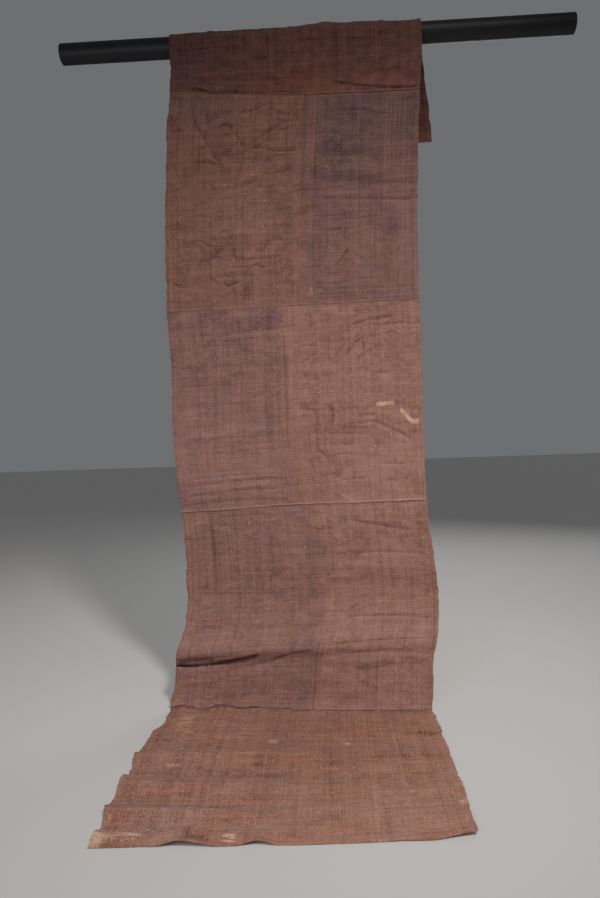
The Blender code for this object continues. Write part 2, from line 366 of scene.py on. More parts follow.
UPPER_CREASES = (
    Crease(
        "left shoulder crease", ((67, 7), (71, 50), (91, 85), (126, 132), (160, 190)),
        Fold.TROUGH, 10, 4.2, 0.26,
    ),
    Crease("right shoulder crease", ((362, 76), (300, 110), (236, 152)), Fold.LAPPED, 11, 4.6, 0.30),
    Crease("cross crease", ((237, 150), (283, 147), (329, 161), (398, 162)), Fold.TROUGH, 8, 3.5, 0.30),
    Crease("short upright crease", ((399, 98), (401, 162)), Fold.TROUGH, 6, 1.6, 0.16),
    Crease("falling crease", ((237, 155), (230, 195), (208, 262), (196, 304)), Fold.TROUGH, 9, 3.0, 0.20),
    Crease("fork of the falling crease", ((286, 241), (244, 255), (208, 269)), Fold.TROUGH, 8, 2.6, 0.20),
    Crease("end of the falling crease", ((231, 318), (228, 376)), Fold.TROUGH, 8, 2.2, 0.18),
    Crease("top drag", ((210, 56), (253, 47), (285, 30), (323, 21)), Fold.TROUGH, 7, 2.2, 0.24),
    Crease("left curl", ((14, 112), (23, 94), (38, 92), (54, 103)), Fold.TROUGH, 7, 2.8, 0.42),
    Crease("middle curl", ((150, 104), (164, 84), (190, 82), (206, 101)), Fold.TROUGH, 7, 3.0, 0.44),
    Crease("curl beside it", ((206, 104), (216, 122), (232, 136), (226, 150)), Fold.TROUGH, 6, 2.4, 0.34),
    Crease("curl under it", ((156, 118), (172, 110), (194, 116)), Fold.TROUGH, 6, 2.0, 0.28),
    Crease("upper nick", ((128, 64), (140, 60), (160, 66)), Fold.TROUGH, 5, 1.8, 0.36),
    Crease("lower curl", ((100, 196), (117, 182), (143, 188), (158, 202)), Fold.TROUGH, 6, 2.4, 0.34),
    Crease("slant curl", ((122, 238), (145, 263), (166, 275)), Fold.TROUGH, 6, 2.4, 0.30),
    Crease("low left curl", ((110, 412), (129, 433), (148, 438)), Fold.TROUGH, 6, 2.2, 0.30),
    Crease("tent", ((250, 512), (272, 488), (290, 504), (316, 496)), Fold.TROUGH, 6, 2.4, 0.38),
    Crease("low left nick", ((18, 535), (40, 546), (60, 550)), Fold.TROUGH, 6, 1.8, 0.34),
    Crease("low slant", ((122, 512), (146, 536), (164, 548)), Fold.TROUGH, 6, 1.8, 0.28),
    Crease("low hook", ((174, 534), (181, 552), (203, 546), (230, 537)), Fold.TROUGH, 6, 2.2, 0.40),
    Crease("left edge nick", ((0, 247), (26, 249)), Fold.TROUGH, 6, 1.8, 0.34),
    Crease("upper left edge nick", ((0, 149), (26, 160)), Fold.TROUGH, 6, 1.6, 0.28),
    Crease("left rise", ((100, 60), (104, 130), (96, 190)), Fold.RIDGE, 14, 2.6, 0.0),
    Crease("fullness between creases", ((190, 50), (240, 100), (220, 130)), Fold.RIDGE, 18, 3.0, 0.0),
    Crease(
        "slant below the cross crease", ((330, 200), (270, 232), (225, 245)),
        Fold.RIDGE, 12, 2.2, -0.04,
    ),
    Crease("second slant", ((346, 226), (318, 258), (286, 276), (262, 322)), Fold.RIDGE, 9, 2.0, -0.05),
    Crease("left slant", ((70, 240), (120, 300), (150, 380)), Fold.RIDGE, 14, 1.8, 0.0),
    # The dark of this crease is painted shade in its fold.
    Crease("shaded crease", ((128, 474), (156, 452), (192, 430), (262, 418)), Fold.TROUGH, 15, 3.0, 0.14),
    Crease("rise over the smudged crease", ((196, 404), (236, 396), (270, 404)), Fold.RIDGE, 9, 2.4, -0.05),
    Crease("right upper line", ((572, 267), (660, 270), (750, 271)), Fold.TROUGH, 6, 1.2, 0.14),
    Crease("right lower line", ((451, 304), (585, 313), (750, 322)), Fold.TROUGH, 6, 1.3, 0.18),
    Crease("right top fold", ((539, 50), (590, 46), (630, 60)), Fold.TROUGH, 6, 1.8, 0.30),
    Crease("first upright line", ((518, 8), (522, 110), (527, 190)), Fold.TROUGH, 6, 1.0, 0.12),
    Crease("second upright line", ((566, 58), (571, 150), (574, 236)), Fold.TROUGH, 6, 1.0, 0.11),
    Crease("third upright line", ((632, 64), (636, 150), (638, 240)), Fold.TROUGH, 6, 0.8, 0.08),
    # The closed slit's dark line is painted shadow inside the slit.
    Crease("closed slit", ((552, 450), (543, 467), (527, 490), (505, 505)), Fold.LAPPED, 4, 2.4, 0.85),
    Crease("dent beside the slit", ((560, 470), (590, 488), (596, 500)), Fold.TROUGH, 7, 1.8, 0.16),
    Crease("nick at the right", ((713, 25), (728, 17)), Fold.TROUGH, 5, 1.6, 0.40),
    Crease("dark knot", ((136, 602), (143, 601)), Fold.TROUGH, 5, 1.0, 0.40),
    Crease("first line above seam 2", ((440, 572), (582, 577), (750, 580)), Fold.TROUGH, 6, 0.9, 0.10),
    Crease("second line above seam 2", ((440, 590), (582, 594), (750, 598)), Fold.TROUGH, 6, 0.9, 0.10),
    *NestedRectangles("right rectangles", 446, 362, 670, 592, 4, 17, -14, 0.20).creases(),
    *NestedRectangles("left rectangles", 62, 250, 190, 420, 2, 20, -4, 0.07).creases(),
)

MIDDLE_CREASES = (
    Crease(
        "first slack line", ((4, 520), (62, 517), (141, 516), (250, 511), (323, 511)),
        Fold.TROUGH, 7, 2.2, 0.20,
    ),
    Crease("second slack line", ((16, 548), (110, 546), (219, 538), (310, 544)), Fold.TROUGH, 7, 2.0, 0.15),
    Crease("third slack line", ((28, 573), (122, 571), (215, 568), (338, 579)), Fold.TROUGH, 6, 1.6, 0.12),
    Crease("slack above them", ((35, 388), (180, 376), (324, 368)), Fold.RIDGE, 14, 2.2, 0.0),
    Crease("pale upright", ((363, 200), (356, 240), (361, 285)), Fold.RIDGE, 5, 1.2, -0.20),
    Crease("second pale upright", ((338, 262), (349, 226), (352, 196)), Fold.RIDGE, 5, 1.0, -0.16),
    Crease("pale slant", ((318, 288), (334, 262), (344, 248)), Fold.RIDGE, 5, 0.8, -0.12),
    Crease("first pale line", ((22, 322), (71, 309), (120, 298)), Fold.RIDGE, 6, 1.2, -0.14),
    Crease("second pale line", ((14, 336), (66, 326), (124, 316)), Fold.RIDGE, 5, 1.0, -0.10),
    Crease("top sweep", ((548, 66), (590, 54), (632, 50), (680, 44)), Fold.TROUGH, 7, 2.6, 0.34),
    Crease("first slant", ((520, 160), (545, 138), (563, 118), (596, 92)), Fold.TROUGH, 7, 2.6, 0.30),
    Crease("second slant", ((478, 176), (506, 148), (532, 112)), Fold.TROUGH, 6, 2.2, 0.24),
    Crease("third slant", ((560, 176), (586, 150), (612, 138)), Fold.TROUGH, 6, 2.0, 0.22),
    Crease("rise between the slants", ((500, 172), (536, 128), (570, 92)), Fold.RIDGE, 8, 2.2, -0.05),
    Crease("upper right curl", ((640, 96), (668, 88), (694, 104)), Fold.TROUGH, 6, 2.0, 0.22),
    Crease("middle right curl", ((604, 220), (630, 204), (668, 214)), Fold.TROUGH, 6, 2.0, 0.22),
    Crease("pale rise at the top", ((500, 30), (540, 42), (566, 30)), Fold.RIDGE, 7, 1.8, -0.12),
    Crease("left dark nick", ((392, 312), (412, 308), (440, 316)), Fold.TROUGH, 6, 1.8, 0.18),
    Crease("left swirl", ((460, 288), (488, 329), (478, 372), (447, 384)), Fold.TROUGH, 7, 2.6, 0.30),
    Crease("inner swirl", ((470, 306), (500, 318), (506, 352)), Fold.TROUGH, 6, 1.8, 0.20),
    Crease(
        "right swirl", ((562, 364), (583, 350), (616, 354), (660, 377), (692, 390)),
        Fold.TROUGH, 7, 2.2, 0.24,
    ),
    Crease("second right swirl", ((556, 338), (588, 330), (620, 334)), Fold.TROUGH, 6, 1.8, 0.24),
    Crease("spots at the right", ((680, 384), (698, 398), (716, 412)), Fold.TROUGH, 7, 2.2, 0.34),
    Crease("small cup", ((503, 411), (535, 427), (543, 400)), Fold.TROUGH, 6, 2.2, 0.32),
    Crease("hook", ((423, 438), (456, 442), (468, 476), (461, 506)), Fold.TROUGH, 8, 2.8, 0.40),
    Crease("right line", ((619, 478), (703, 485)), Fold.TROUGH, 6, 1.6, 0.28),
    Crease("low line", ((492, 529), (541, 522), (590, 524)), Fold.TROUGH, 6, 1.6, 0.28),
    Crease("low slant", ((481, 562), (522, 585), (545, 604)), Fold.RIDGE, 5, 1.6, -0.26),
    *NestedRectangles("left rectangles", 84, 76, 346, 432, 5, 27, -12, 0.16).creases(),
    *NestedRectangles("low left rectangles", 40, 390, 250, 500, 2, 20, -6, 0.08).creases(),
)

LOWER_CREASES = (
    Crease("right sweep", ((508, 50), (560, 60), (616, 72), (694, 84)), Fold.TROUGH, 7, 2.6, 0.32),
    Crease("middle line", ((392, 72), (430, 76), (470, 73)), Fold.TROUGH, 6, 1.6, 0.30),
    Crease("high right line", ((520, 152), (620, 146), (730, 158)), Fold.TROUGH, 7, 1.6, 0.14),
    Crease("low right line", ((480, 341), (585, 338), (659, 342), (735, 352)), Fold.TROUGH, 8, 2.6, 0.24),
    Crease("curl above it", ((478, 336), (500, 318), (520, 300)), Fold.TROUGH, 7, 2.0, 0.22),
    Crease("second curl", ((500, 344), (524, 334), (540, 316)), Fold.TROUGH, 6, 1.8, 0.20),
    Crease("second low line", ((460, 421), (553, 412), (640, 409), (738, 408)), Fold.TROUGH, 8, 2.2, 0.26),
    Crease("third low line", ((500, 452), (602, 446), (749, 459)), Fold.TROUGH, 8, 1.8, 0.16),
    # The dark of these dips is painted shade in them.
    Crease(
        "smudge beside the rectangles", ((238, 238), (268, 214), (286, 190)),
        Fold.TROUGH, 10, 2.4, 0.18,
    ),
    Crease("shaded dip under it", ((286, 298), (320, 284), (352, 292)), Fold.TROUGH, 10, 2.2, 0.16),
    Crease("left low drag", ((19, 369), (68, 357), (124, 366)), Fold.TROUGH, 8, 2.2, 0.22),
    Crease("left upper drag", ((12, 315), (50, 304), (90, 301)), Fold.TROUGH, 8, 1.8, 0.18),
    # The slack fold's dark line is painted shadow under the drooping fold.
    Crease(
        "slack fold", ((-50, 462), (24, 475), (62, 477), (128, 471), (196, 457), (250, 449)),
        Fold.TROUGH, 11, 6.5, 0.55,
    ),
    Crease(
        "shadow in the slack fold", ((-50, 462), (40, 474), (100, 472), (170, 458)),
        Fold.DRAWN, 18, 0.0, 0.34,
    ),
    Crease("lip of the slack fold", ((100, 462), (190, 444), (252, 438)), Fold.RIDGE, 9, 3.0, 0.0),
    Crease(
        "slack fold's lower end", ((199, 486), (286, 472), (344, 446), (404, 444)),
        Fold.TROUGH, 8, 1.6, 0.15,
    ),
    Crease(
        "shadow beside the slack fold", ((150, 490), (230, 476), (330, 462)),
        Fold.TROUGH, 15, 2.4, 0.14,
    ),
    Crease("line under the slack fold", ((28, 505), (46, 510), (70, 508)), Fold.TROUGH, 6, 1.6, 0.34),
    # The dark of this dip is painted shade in it.
    Crease("right smear", ((521, 495), (570, 496), (624, 490), (649, 478)), Fold.TROUGH, 12, 2.4, 0.36),
    Crease("rise above the slack fold", ((0, 440), (120, 436), (230, 425)), Fold.RIDGE, 22, 4.0, 0.0),
    Crease("fullness across the right", ((430, 474), (600, 470), (770, 474)), Fold.RIDGE, 30, 3.6, 0.0),
    Crease("right hem drag", ((738, 200), (743, 300), (745, 378), (750, 455)), Fold.TROUGH, 6, 1.2, 0.20),
    *NestedRectangles("left rectangles", 88, 20, 266, 262, 4, 19, 0, 0.17).creases(),
)

FLOOR_CREASES = (
    Crease(
        "dark upright thread", ((376, 195), (381, 300), (388, 440), (392, 588)),
        Fold.DRAWN, 12, 0.0, 0.13,
    ),
    Crease("second dark upright thread", ((430, 330), (433, 540)), Fold.DRAWN, 10, 0.0, 0.14),
    Crease("third dark upright thread", ((486, 210), (489, 420)), Fold.DRAWN, 10, 0.0, 0.08),
    Crease("pale upright thread", ((573, 197), (568, 400), (561, 582)), Fold.DRAWN, 12, 0.0, -0.18),
    Crease("first band", ((20, 96), (240, 84), (460, 100), (750, 92)), Fold.RIDGE, 16, 3.0, 0.0),
    Crease(
        "first dark band", ((30, 128), (200, 118), (390, 121), (560, 134), (740, 158)),
        Fold.TROUGH, 12, 2.4, 0.12,
    ),
    Crease("second band", ((10, 180), (260, 196), (520, 186), (740, 200)), Fold.TROUGH, 14, 2.4, 0.08),
    Crease("third band", ((30, 262), (260, 268), (430, 258)), Fold.RIDGE, 12, 3.2, -0.04),
    Crease("fourth band", ((360, 320), (560, 330), (745, 318)), Fold.RIDGE, 12, 2.6, -0.04),
    Crease("third dark band", ((20, 356), (126, 358), (280, 350), (400, 357)), Fold.TROUGH, 13, 2.6, 0.12),
    Crease("fourth dark band", ((420, 384), (560, 376), (712, 404)), Fold.TROUGH, 12, 2.2, 0.10),
    Crease("fifth band", ((60, 420), (300, 404), (520, 416), (735, 428)), Fold.RIDGE, 12, 2.4, -0.03),
    Crease("fifth dark band", ((40, 494), (134, 498), (280, 476), (405, 483)), Fold.TROUGH, 12, 2.4, 0.10),
    Crease("sixth band", ((40, 460), (210, 450), (330, 456)), Fold.RIDGE, 10, 2.4, 0.0),
    Crease("seventh band", ((420, 500), (600, 490), (720, 500)), Fold.RIDGE, 10, 2.0, 0.0),
    Crease("step at the right edge", ((700, 166), (735, 156), (757, 150)), Fold.TROUGH, 9, 2.2, 0.26),
    # The dark lines over and beside the arch and in the dark hollow are painted shadow under the raised hem.
    Crease("fold over the arch", ((112, 586), (160, 574), (226, 588)), Fold.LAPPED, 9, 4.0, 0.40),
    Crease("dark hollow", ((170, 606), (200, 598), (238, 604)), Fold.TROUGH, 16, 4.0, 0.40),
    Crease("fold beside the arch", ((206, 582), (240, 574), (276, 566)), Fold.TROUGH, 9, 2.8, 0.34),
)


SEAM_LINES = (
    SeamLine("seam 1", ((0, 0), (85, -3), (140, 2), (280, 0), (420, 1), (560, -1), (755, 0)), 1.2),
    SeamLine("seam 2", ((0, 0), (200, 1), (380, -1), (560, 1), (755, 0)), 1.2),
    SeamLine("seam 3", ((0, 0), (180, 1), (330, -2), (520, 1), (755, 0)), 1.2),
    SeamLine(
        "seam 4",
        (
            *((0, -17), (39, -24), (89, -11), (112, -14), (134, -24), (160, -24), (220, -15)),
            *((244, -21), (298, -15), (345, -15), (372, -6), (452, -5), (755, -4)),
        ),
        2.0,
    ),
)


def rounded(way: tuple[tuple[float, float], ...], times: int = 2) -> np.ndarray:
    """A way with its corners cut.

    Args:
        way: The points of the way.
        times: How often each corner is cut.

    Returns:
        The points of the rounder way, with the same two ends.
    """
    points = np.array(way, float)
    for _ in range(times if len(way) > 2 else 0):
        near = points[:-1] * 0.75 + points[1:] * 0.25
        far = points[:-1] * 0.25 + points[1:] * 0.75
        points = np.vstack([points[:1], np.stack([near, far], 1).reshape(-1, 2)[1:-1], points[-1:]])
    return points


def nearest(way: np.ndarray, across: np.ndarray, down: np.ndarray) -> tuple[np.ndarray, np.ndarray]:
    """Where places are beside a way.

    Args:
        way: The points of the way.
        across: The places across.
        down: The places down.

    Returns:
        The distance of each place from the way, positive above a way that runs to the right, and how far
        along the way it is.
    """
    best = np.full(across.shape, 1e9)
    aside = np.zeros(across.shape)
    along = np.zeros(across.shape)
    walked = 0.0
    for (x0, y0), (x1, y1) in zip(way[:-1], way[1:]):
        length = math.hypot(x1 - x0, y1 - y0)
        ux, uy = (x1 - x0) / length, (y1 - y0) / length
        dx, dy = across - x0, down - y0
        share = np.clip(dx * ux + dy * uy, 0, length)
        distance = np.hypot(dx - share * ux, dy - share * uy)
        closer = distance < best
        best = np.where(closer, distance, best)
        aside = np.where(closer, np.where(dx * uy - dy * ux > 0, distance, -distance), aside)
        along = np.where(closer, walked + share, along)
        walked += length
    return aside, along


def uneven(across: np.ndarray, down: np.ndarray, pitch: tuple[float, float], seed: int) -> np.ndarray:
    """Smooth noise from -1 to 1 over the cloth.

    Args:
        across: The places across.
        down: The places down.
        pitch: The distance between two random values, across and down.
        seed: The seed of the values.

    Returns:
        The noise at each place.
    """
    margin = 40.0
    x, y = (across + margin) / pitch[0], (down + margin) / pitch[1]
    columns = int((CLOTH_WIDTH + 2 * margin) / pitch[0]) + 3
    rows = int((CLOTH_LENGTH + 2 * margin) / pitch[1]) + 3
    values = np.random.default_rng(seed).uniform(-1, 1, (rows, columns))
    i, j = np.floor(y).astype(int), np.floor(x).astype(int)
    i, j = np.clip(i, 0, rows - 2), np.clip(j, 0, columns - 2)
    v, u = y - i, x - j
    v, u = v * v * (3 - 2 * v), u * u * (3 - 2 * u)
    top = values[i, j] * (1 - u) + values[i, j + 1] * u
    low = values[i + 1, j] * (1 - u) + values[i + 1, j + 1] * u
    return top * (1 - v) + low * v


def layered(across: np.ndarray, down: np.ndarray, layers: tuple[tuple, ...]) -> np.ndarray:
    """The sum of layers of noise, each given by its height, pitch and seed."""
    return sum(height * uneven(across, down, pitch, seed) for height, pitch, seed in layers)


def varied(across: np.ndarray, down: np.ndarray, by: tuple, number: int) -> np.ndarray:
    """A factor about 1 that varies by a share, with a pitch and the seed of a numbered crease."""
    share, pitch, seed = by
    return 1 + share * uneven(across, down, pitch, seed + number)


def hump(distance: np.ndarray, half_width: float) -> np.ndarray:
    """A smooth hump of height 1 that ends at its half width."""
    return np.cos(math.pi / 2 * np.minimum(np.abs(distance) / half_width, 1)) ** 2


def fade(values: np.ndarray, width: float) -> np.ndarray:
    """A smooth rise from 0 at 0 to 1 at a width."""
    share = np.clip(values / width, 0, 1)
    return share * share * (3 - 2 * share)


CLOTH_WIDTH = 755.0
CLOTH_LENGTH = 3053.0


class ClothCourse:
    """The way of the cloth from its back hem, over the rod and down to its front hem, as its solids have it.

    Its underside is a smooth surface through the stations. A place on it is given by across and run, in
    millimetres, where run starts at the back hem. Points come out in metres, in the frame.
    """

    rod_steps = 12
    rod_clearance = 2.5
    rod_lift = (0.0, 3.0, 2.0)
    crease_width = 0.74
    crease_depth = 1.15
    line_width = 0.42
    wide_crease = 12.0
    wide_shade = 0.36
    far_aside = 5.0
    # Unevenness everywhere, and the low waves of the cloth on the floor: height, pitch and seed.
    unevenness = (
        *((1.6, (120, 60), 11), (1.2, (50, 30), 12), (0.75, (24, 17), 13)),
        *((0.28, (11, 9), 14), (0.35, (18, 170), 15), (0.25, (150, 14), 19)),
    )
    floor_waves = ((2.6, (170, 23), 23), (1.3, (100, 12), 24))
    floor_lift = 1.0
    # How far a crease's strength, width and line vary along it: share, pitch and first seed.
    strength_varies = (0.28, (20, 20), 40)
    width_varies = (0.2, (30, 30), 140)
    line_varies = (0.4, (10, 10), 240)
    # Over the rod the cloth can't dip below this, so that it clears the rod.
    rod_reach = 130.0
    deepest_over_rod = -1.4
    # Crushed cloth: the pitch of its folds, their depth, how dark the painted shade along their lines is, and
    # a seed.
    crushed_line = 0.12
    crush_layers = (
        ((56, 42), 2.8, 0.25, 16),
        ((32, 24), 2.0, 0.25, 18),
        ((19, 15), 0.7, 0.22, 25),
    )
    behind_rod_edges = (-423.0, 322.0)
    before_rod_edges = (-431.0, 316.0)
    # How far the side edges stand out of their stations, by run: left and right.
    edge_shifts = (
        *((0, 0, 5), (60, 0, 5), (260, 0, 0), (600, 1, -1), (760, 2, 0), (900, 0, 0), (1800, 0, -1)),
        *((2000, 0, 1), (2200, -1, 4), (2300, -1, 4), (2420, 0, 1), (2480, 4, 0), (2520, 8, 3)),
        *((2560, 2, 4), (2640, -1, 4), (2700, -3, 3), (2770, 5, 3), (2845, 4, 1)),
        *((2885, -2, 7), (2920, -5, 2), (2955, 5, -2), (3053, 0, -3)),
    )
    # How far the front hem lies beyond its station, by the place across.
    hem_shifts = (
        *((0, 0), (105, -7), (136, -6), (200, -4), (260, -5), (323, -6), (400, -2)),
        *((478, 0), (603, 4), (665, 9), (700, 7), (755, 6)),
    )

    def __init__(self) -> None:
        low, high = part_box("rod")
        self.rod_y = (low.y + high.y) / 2
        self.rod_up = (low.z + high.z) / 2 / MM
        self.rod_radius = (high.z - low.z) / 2 / MM
        stations = [*BACK_STATIONS, *self.rod_stations(), *FRONT_STATIONS]
        self.names = [station.name for station in stations]
        self.numbers = np.array([(s.left, s.right, *s.out, *s.up) for s in stations], float)
        steps = np.linalg.norm(np.diff(self.numbers[:, [3, 6]], axis=0), axis=1)
        self.runs = np.concatenate([[0], np.cumsum(steps)])
        self.slopes = self.station_slopes()
        self.length = float(self.runs[-1])
        self.creases: list[tuple[Crease, np.ndarray]] = []

    def rod_stations(self) -> list[Station]:
        """The half turn over the rod, from behind it to before it."""
        made = []
        radii = [self.rod_radius + self.rod_clearance + lift for lift in self.rod_lift]
        for step in range(self.rod_steps + 1):
            share = step / self.rod_steps
            angle = math.pi * (1 - share)
            edges = [
                behind + share * (before - behind)
                for behind, before in zip(self.behind_rod_edges, self.before_rod_edges)
            ]
            out = tuple(radius * math.cos(angle) for radius in radii)
            up = tuple(self.rod_up + radius * math.sin(angle) for radius in radii)
            made.append(Station(f"rod {step}", *edges, out, up))
        return made

    def station_slopes(self) -> np.ndarray:
        """The slope of each number at each station, zero at a turn, so that no curve passes its stations."""
        slopes = np.diff(self.numbers, axis=0) / np.diff(self.runs)[:, None]
        before, after = slopes[:-1], slopes[1:]
        means = np.divide(
            2 * before * after, before + after, out=np.zeros_like(before), where=before * after > 0
        )
        return np.concatenate([slopes[:1], means, slopes[-1:]])

    def run_of(self, name: str) -> float:
        """The run of the named station."""
        return float(self.runs[self.names.index(name)])

    def drift(self, across: np.ndarray, run: np.ndarray) -> tuple[np.ndarray, np.ndarray]:
        """Where the cloth's grid lies on its course, with wavering edges and seams.

        Args:
            across: The places across, on the even grid.
            run: The places along.

        Returns:
            The same places on the uneven cloth.
        """
        waver = 1.7 * uneven(across, run, (900, 16), 51) + 1.8 * uneven(across, run, (900, 47), 52)
        other = 1.7 * uneven(across, run, (900, 17), 53) + 1.6 * uneven(across, run, (900, 52), 54)
        phase = np.mod((run - self.run_of("seam 4")) / 96 + 0.35, 1)
        scallop = (5.0 + 3.0 * uneven(across, run, (900, 120), 55)) * (phase - fade(phase - 0.80, 0.20))
        scallop = scallop * fade(run - self.run_of("seam 4"), 40)
        moved = (waver - 0.35 * scallop) * (1 - fade(across, 36))
        moved = moved + (other + scallop - 2.5 * (scallop > 0)) * (1 - fade(CLOTH_WIDTH - across, 36))
        places, left, right = zip(*self.edge_shifts)
        moved += np.interp(run, places, left) * (1 - fade(across, 60))
        moved += np.interp(run, places, right) * (1 - fade(CLOTH_WIDTH - across, 60))
        strayed = np.zeros_like(run)
        for number, line in enumerate(SEAM_LINES):
            places, shifts = zip(*line.shifts)
            waver = line.waver * uneven(across, run, (31, 900), 61 + number)
            shift = np.interp(across, places, shifts) + waver
            strayed += shift * np.exp(-(((run - self.run_of(line.station)) / 45) ** 2))
        places, shifts = zip(*self.hem_shifts)
        strayed += np.interp(across, places, shifts) * fade(run - self.length + 130, 130)
        return across + moved, run + strayed

    def add_creases(self, creases: tuple[Crease, ...], start: float) -> None:
        """Adds a panel's creases, whose ways start at the run where the panel does."""
        for crease in creases:
            self.creases.append((crease, rounded(crease.way) + (0, start)))

    def bare(self, across: np.ndarray, run: np.ndarray) -> np.ndarray:
        """The underside without creases.

        Args:
            across: The places across.
            run: The places along.

        Returns:
            The points, in metres, with one more axis than the places.
        """
        i = np.clip(np.searchsorted(self.runs, run) - 1, 0, len(self.runs) - 2)
        length = (self.runs[i + 1] - self.runs[i])[..., None]
        t = (run[..., None] - self.runs[i][..., None]) / length
        ahead = t * t * (3 - 2 * t)
        rise = length * t * (1 - t)
        numbers = self.numbers[i] * (1 - ahead) + self.numbers[i + 1] * ahead
        numbers += self.slopes[i] * rise * (1 - t) - self.slopes[i + 1] * rise * t
        share = across / CLOTH_WIDTH
        x = numbers[..., 0] + share * (numbers[..., 1] - numbers[..., 0])
        out = self.across_three(numbers[..., 2:5], share)
        up = self.across_three(numbers[..., 5:8], share)
        hem_out = self.across_three(self.numbers[-1, 2:5], share)
        on_floor = run >= self.run_of("seam 4")
        hanging = (run >= self.run_of("below the rod")) & ~on_floor
        out = out + np.where(hanging, self.swell_height(x, up), 0)
        up = up + np.where(on_floor, self.floor_height(x, out, share, hem_out), 0)
        return np.stack([x * MM, self.rod_y - out * MM, np.maximum(up, 0) * MM], -1)

    @staticmethod
    def across_three(values: np.ndarray, share: np.ndarray) -> np.ndarray:
        """The value at a share of the width, on the parabola through left edge, middle and right edge."""
        left, middle, right = values[..., 0], values[..., 1], values[..., 2]
        near = left * (1 - share) * (1 - 2 * share) + middle * 4 * share * (1 - share)
        return near + right * share * (2 * share - 1)

    @staticmethod
    def swell_height(x: np.ndarray, up: np.ndarray) -> np.ndarray:
        """How far the swells of the hanging cloth push it out."""
        height = np.zeros_like(x)
        for swell in SWELLS:
            turn = math.radians(swell.turn)
            dx, dz = x - swell.x, up - swell.up
            along = dx * math.cos(turn) + dz * math.sin(turn)
            aside = dz * math.cos(turn) - dx * math.sin(turn)
            height += swell.height * np.exp(
                -((along / swell.half_length) ** 2) - (aside / swell.half_width) ** 2
            )
        return height

    def floor_height(
        self, x: np.ndarray, out: np.ndarray, share: np.ndarray, hem_out: np.ndarray
    ) -> np.ndarray:
        """How far the ripples and the arches of the hem lift the cloth off the floor."""
        height = np.zeros_like(x)
        for ripple in RIPPLES:
            heights = self.across_three(np.array(ripple.heights, float), share)
            height += np.maximum(heights, 0) * hump(out - ripple.out, ripple.half_width)
        for arch in ARCHES:
            height += arch.height * hump(x - arch.x, arch.half_width) * hump(hem_out - out, arch.reach)
        return height

    def relief(self, across: np.ndarray, run: np.ndarray) -> tuple[np.ndarray, dict[str, np.ndarray]]:
        """The height of the creases and of the cloth's unevenness, and their painted shade and thread lines.

        Args:
            across: The places across.
            run: The places along.

        Returns:
            The height in millimetres, and three values: how dark the painted shade of the wide creases is, the
            distance from the nearest narrow crease in widths of its line, and how dark that line is, as
            painted shade in a fold and as a thread's tone on a drawn line.
        """
        height = layered(across, run, self.unevenness)
        lying = fade(run - self.run_of("seam 4"), 60)
        height += lying * (self.floor_lift + layered(across, run, self.floor_waves))
        shade = np.zeros_like(height)
        aside_line = np.full(height.shape, self.far_aside)
        line = np.zeros_like(height)
        crushed = self.crushed(across, run)
        for pitch, depth, dark, seed in self.crush_layers:
            wave = uneven(across, run, pitch, seed)
            patches = crushed * fade(0.4 + uneven(across, run, (90, 80), seed + 1), 0.8)
            height += depth * patches * (np.minimum(np.abs(wave), 0.35) - 0.2)
            away = wave / self.crushed_line
            closer = np.abs(away) < np.abs(aside_line)
            aside_line = np.where(closer, away, aside_line)
            line = np.where(closer, dark * patches, line)
        for number, (crease, way) in enumerate(self.creases):
            reach = 3.2 * crease.half_width + 2
            low, high = way.min(0) - reach, way.max(0) + reach
            near = (across > low[0]) & (across < high[0]) & (run > low[1]) & (run < high[1])
            if not near.any():
                continue
            a, r = across[near], run[near]
            aside, along = nearest(way, a, r)
            length = float(np.linalg.norm(np.diff(way, axis=0), axis=1).sum())
            ends = fade(np.minimum(along, length - along) + 2, min(24.0, length / 3))
            broken = ends * varied(a, r, self.strength_varies, number)
            width = self.crease_width * crease.half_width * varied(a, r, self.width_varies, number)
            bent = self.bend(crease.fold, aside, width)
            height[near] += self.crease_depth * crease.height * broken * bent
            if crease.half_width >= self.wide_crease:
                wide = np.exp(-((aside / (self.wide_shade * crease.half_width)) ** 2))
                shade[near] += crease.shade * broken * wide
                continue
            away = aside / (self.line_width * crease.half_width)
            dark = crease.shade * broken * varied(a, r, self.line_varies, number)
            there = np.abs(line[near]) * np.exp(-(aside_line[near] ** 2))
            first = (np.abs(away) < 2.4) & (np.abs(dark) > there)
            aside_line[near] = np.where(first, away, aside_line[near])
            line[near] = np.where(first, dark, line[near])
        line *= 1 - fade(np.abs(aside_line) - 1.8, 1.0)
        round_rod = hump(run - self.run_of("rod 6"), self.rod_reach)
        height = np.where(round_rod > 0.05, np.maximum(height, self.deepest_over_rod), height)
        aside_line = np.clip(aside_line, -self.far_aside, self.far_aside)
        return height, {"shade": shade, "aside": aside_line, "line": line}

    @staticmethod
    def bend(fold: Fold, aside: np.ndarray, width: np.ndarray) -> np.ndarray:
        """The profile of a crease, from its deepest or highest point at 1."""
        if fold is Fold.TROUGH:
            return 0.35 * np.exp(-(((aside - 1.7 * width) / width) ** 2)) - np.exp(-((aside / width) ** 2))
        if fold is Fold.RIDGE:
            return np.exp(-((aside / width) ** 2))
        if fold is Fold.LAPPED:
            ridge = np.exp(-(((aside - 0.9 * width) / width) ** 2))
            return ridge - 0.8 * np.exp(-(((aside + 0.35 * width) / (0.55 * width)) ** 2))
        return np.zeros_like(aside)

    @staticmethod
    def crushed(across: np.ndarray, run: np.ndarray) -> np.ndarray:
        """How far the cloth was crushed at each place, from 0 to 1."""
        most = np.full(across.shape, 0.25)
        for zone in CRUSHED:
            inside = fade(1.15 - np.abs(across - zone.across) / zone.half_across, 0.3)
            inside = inside * fade(1.15 - np.abs(run - zone.run) / zone.half_run, 0.3)
            most = np.maximum(most, zone.strength * inside)
        return most

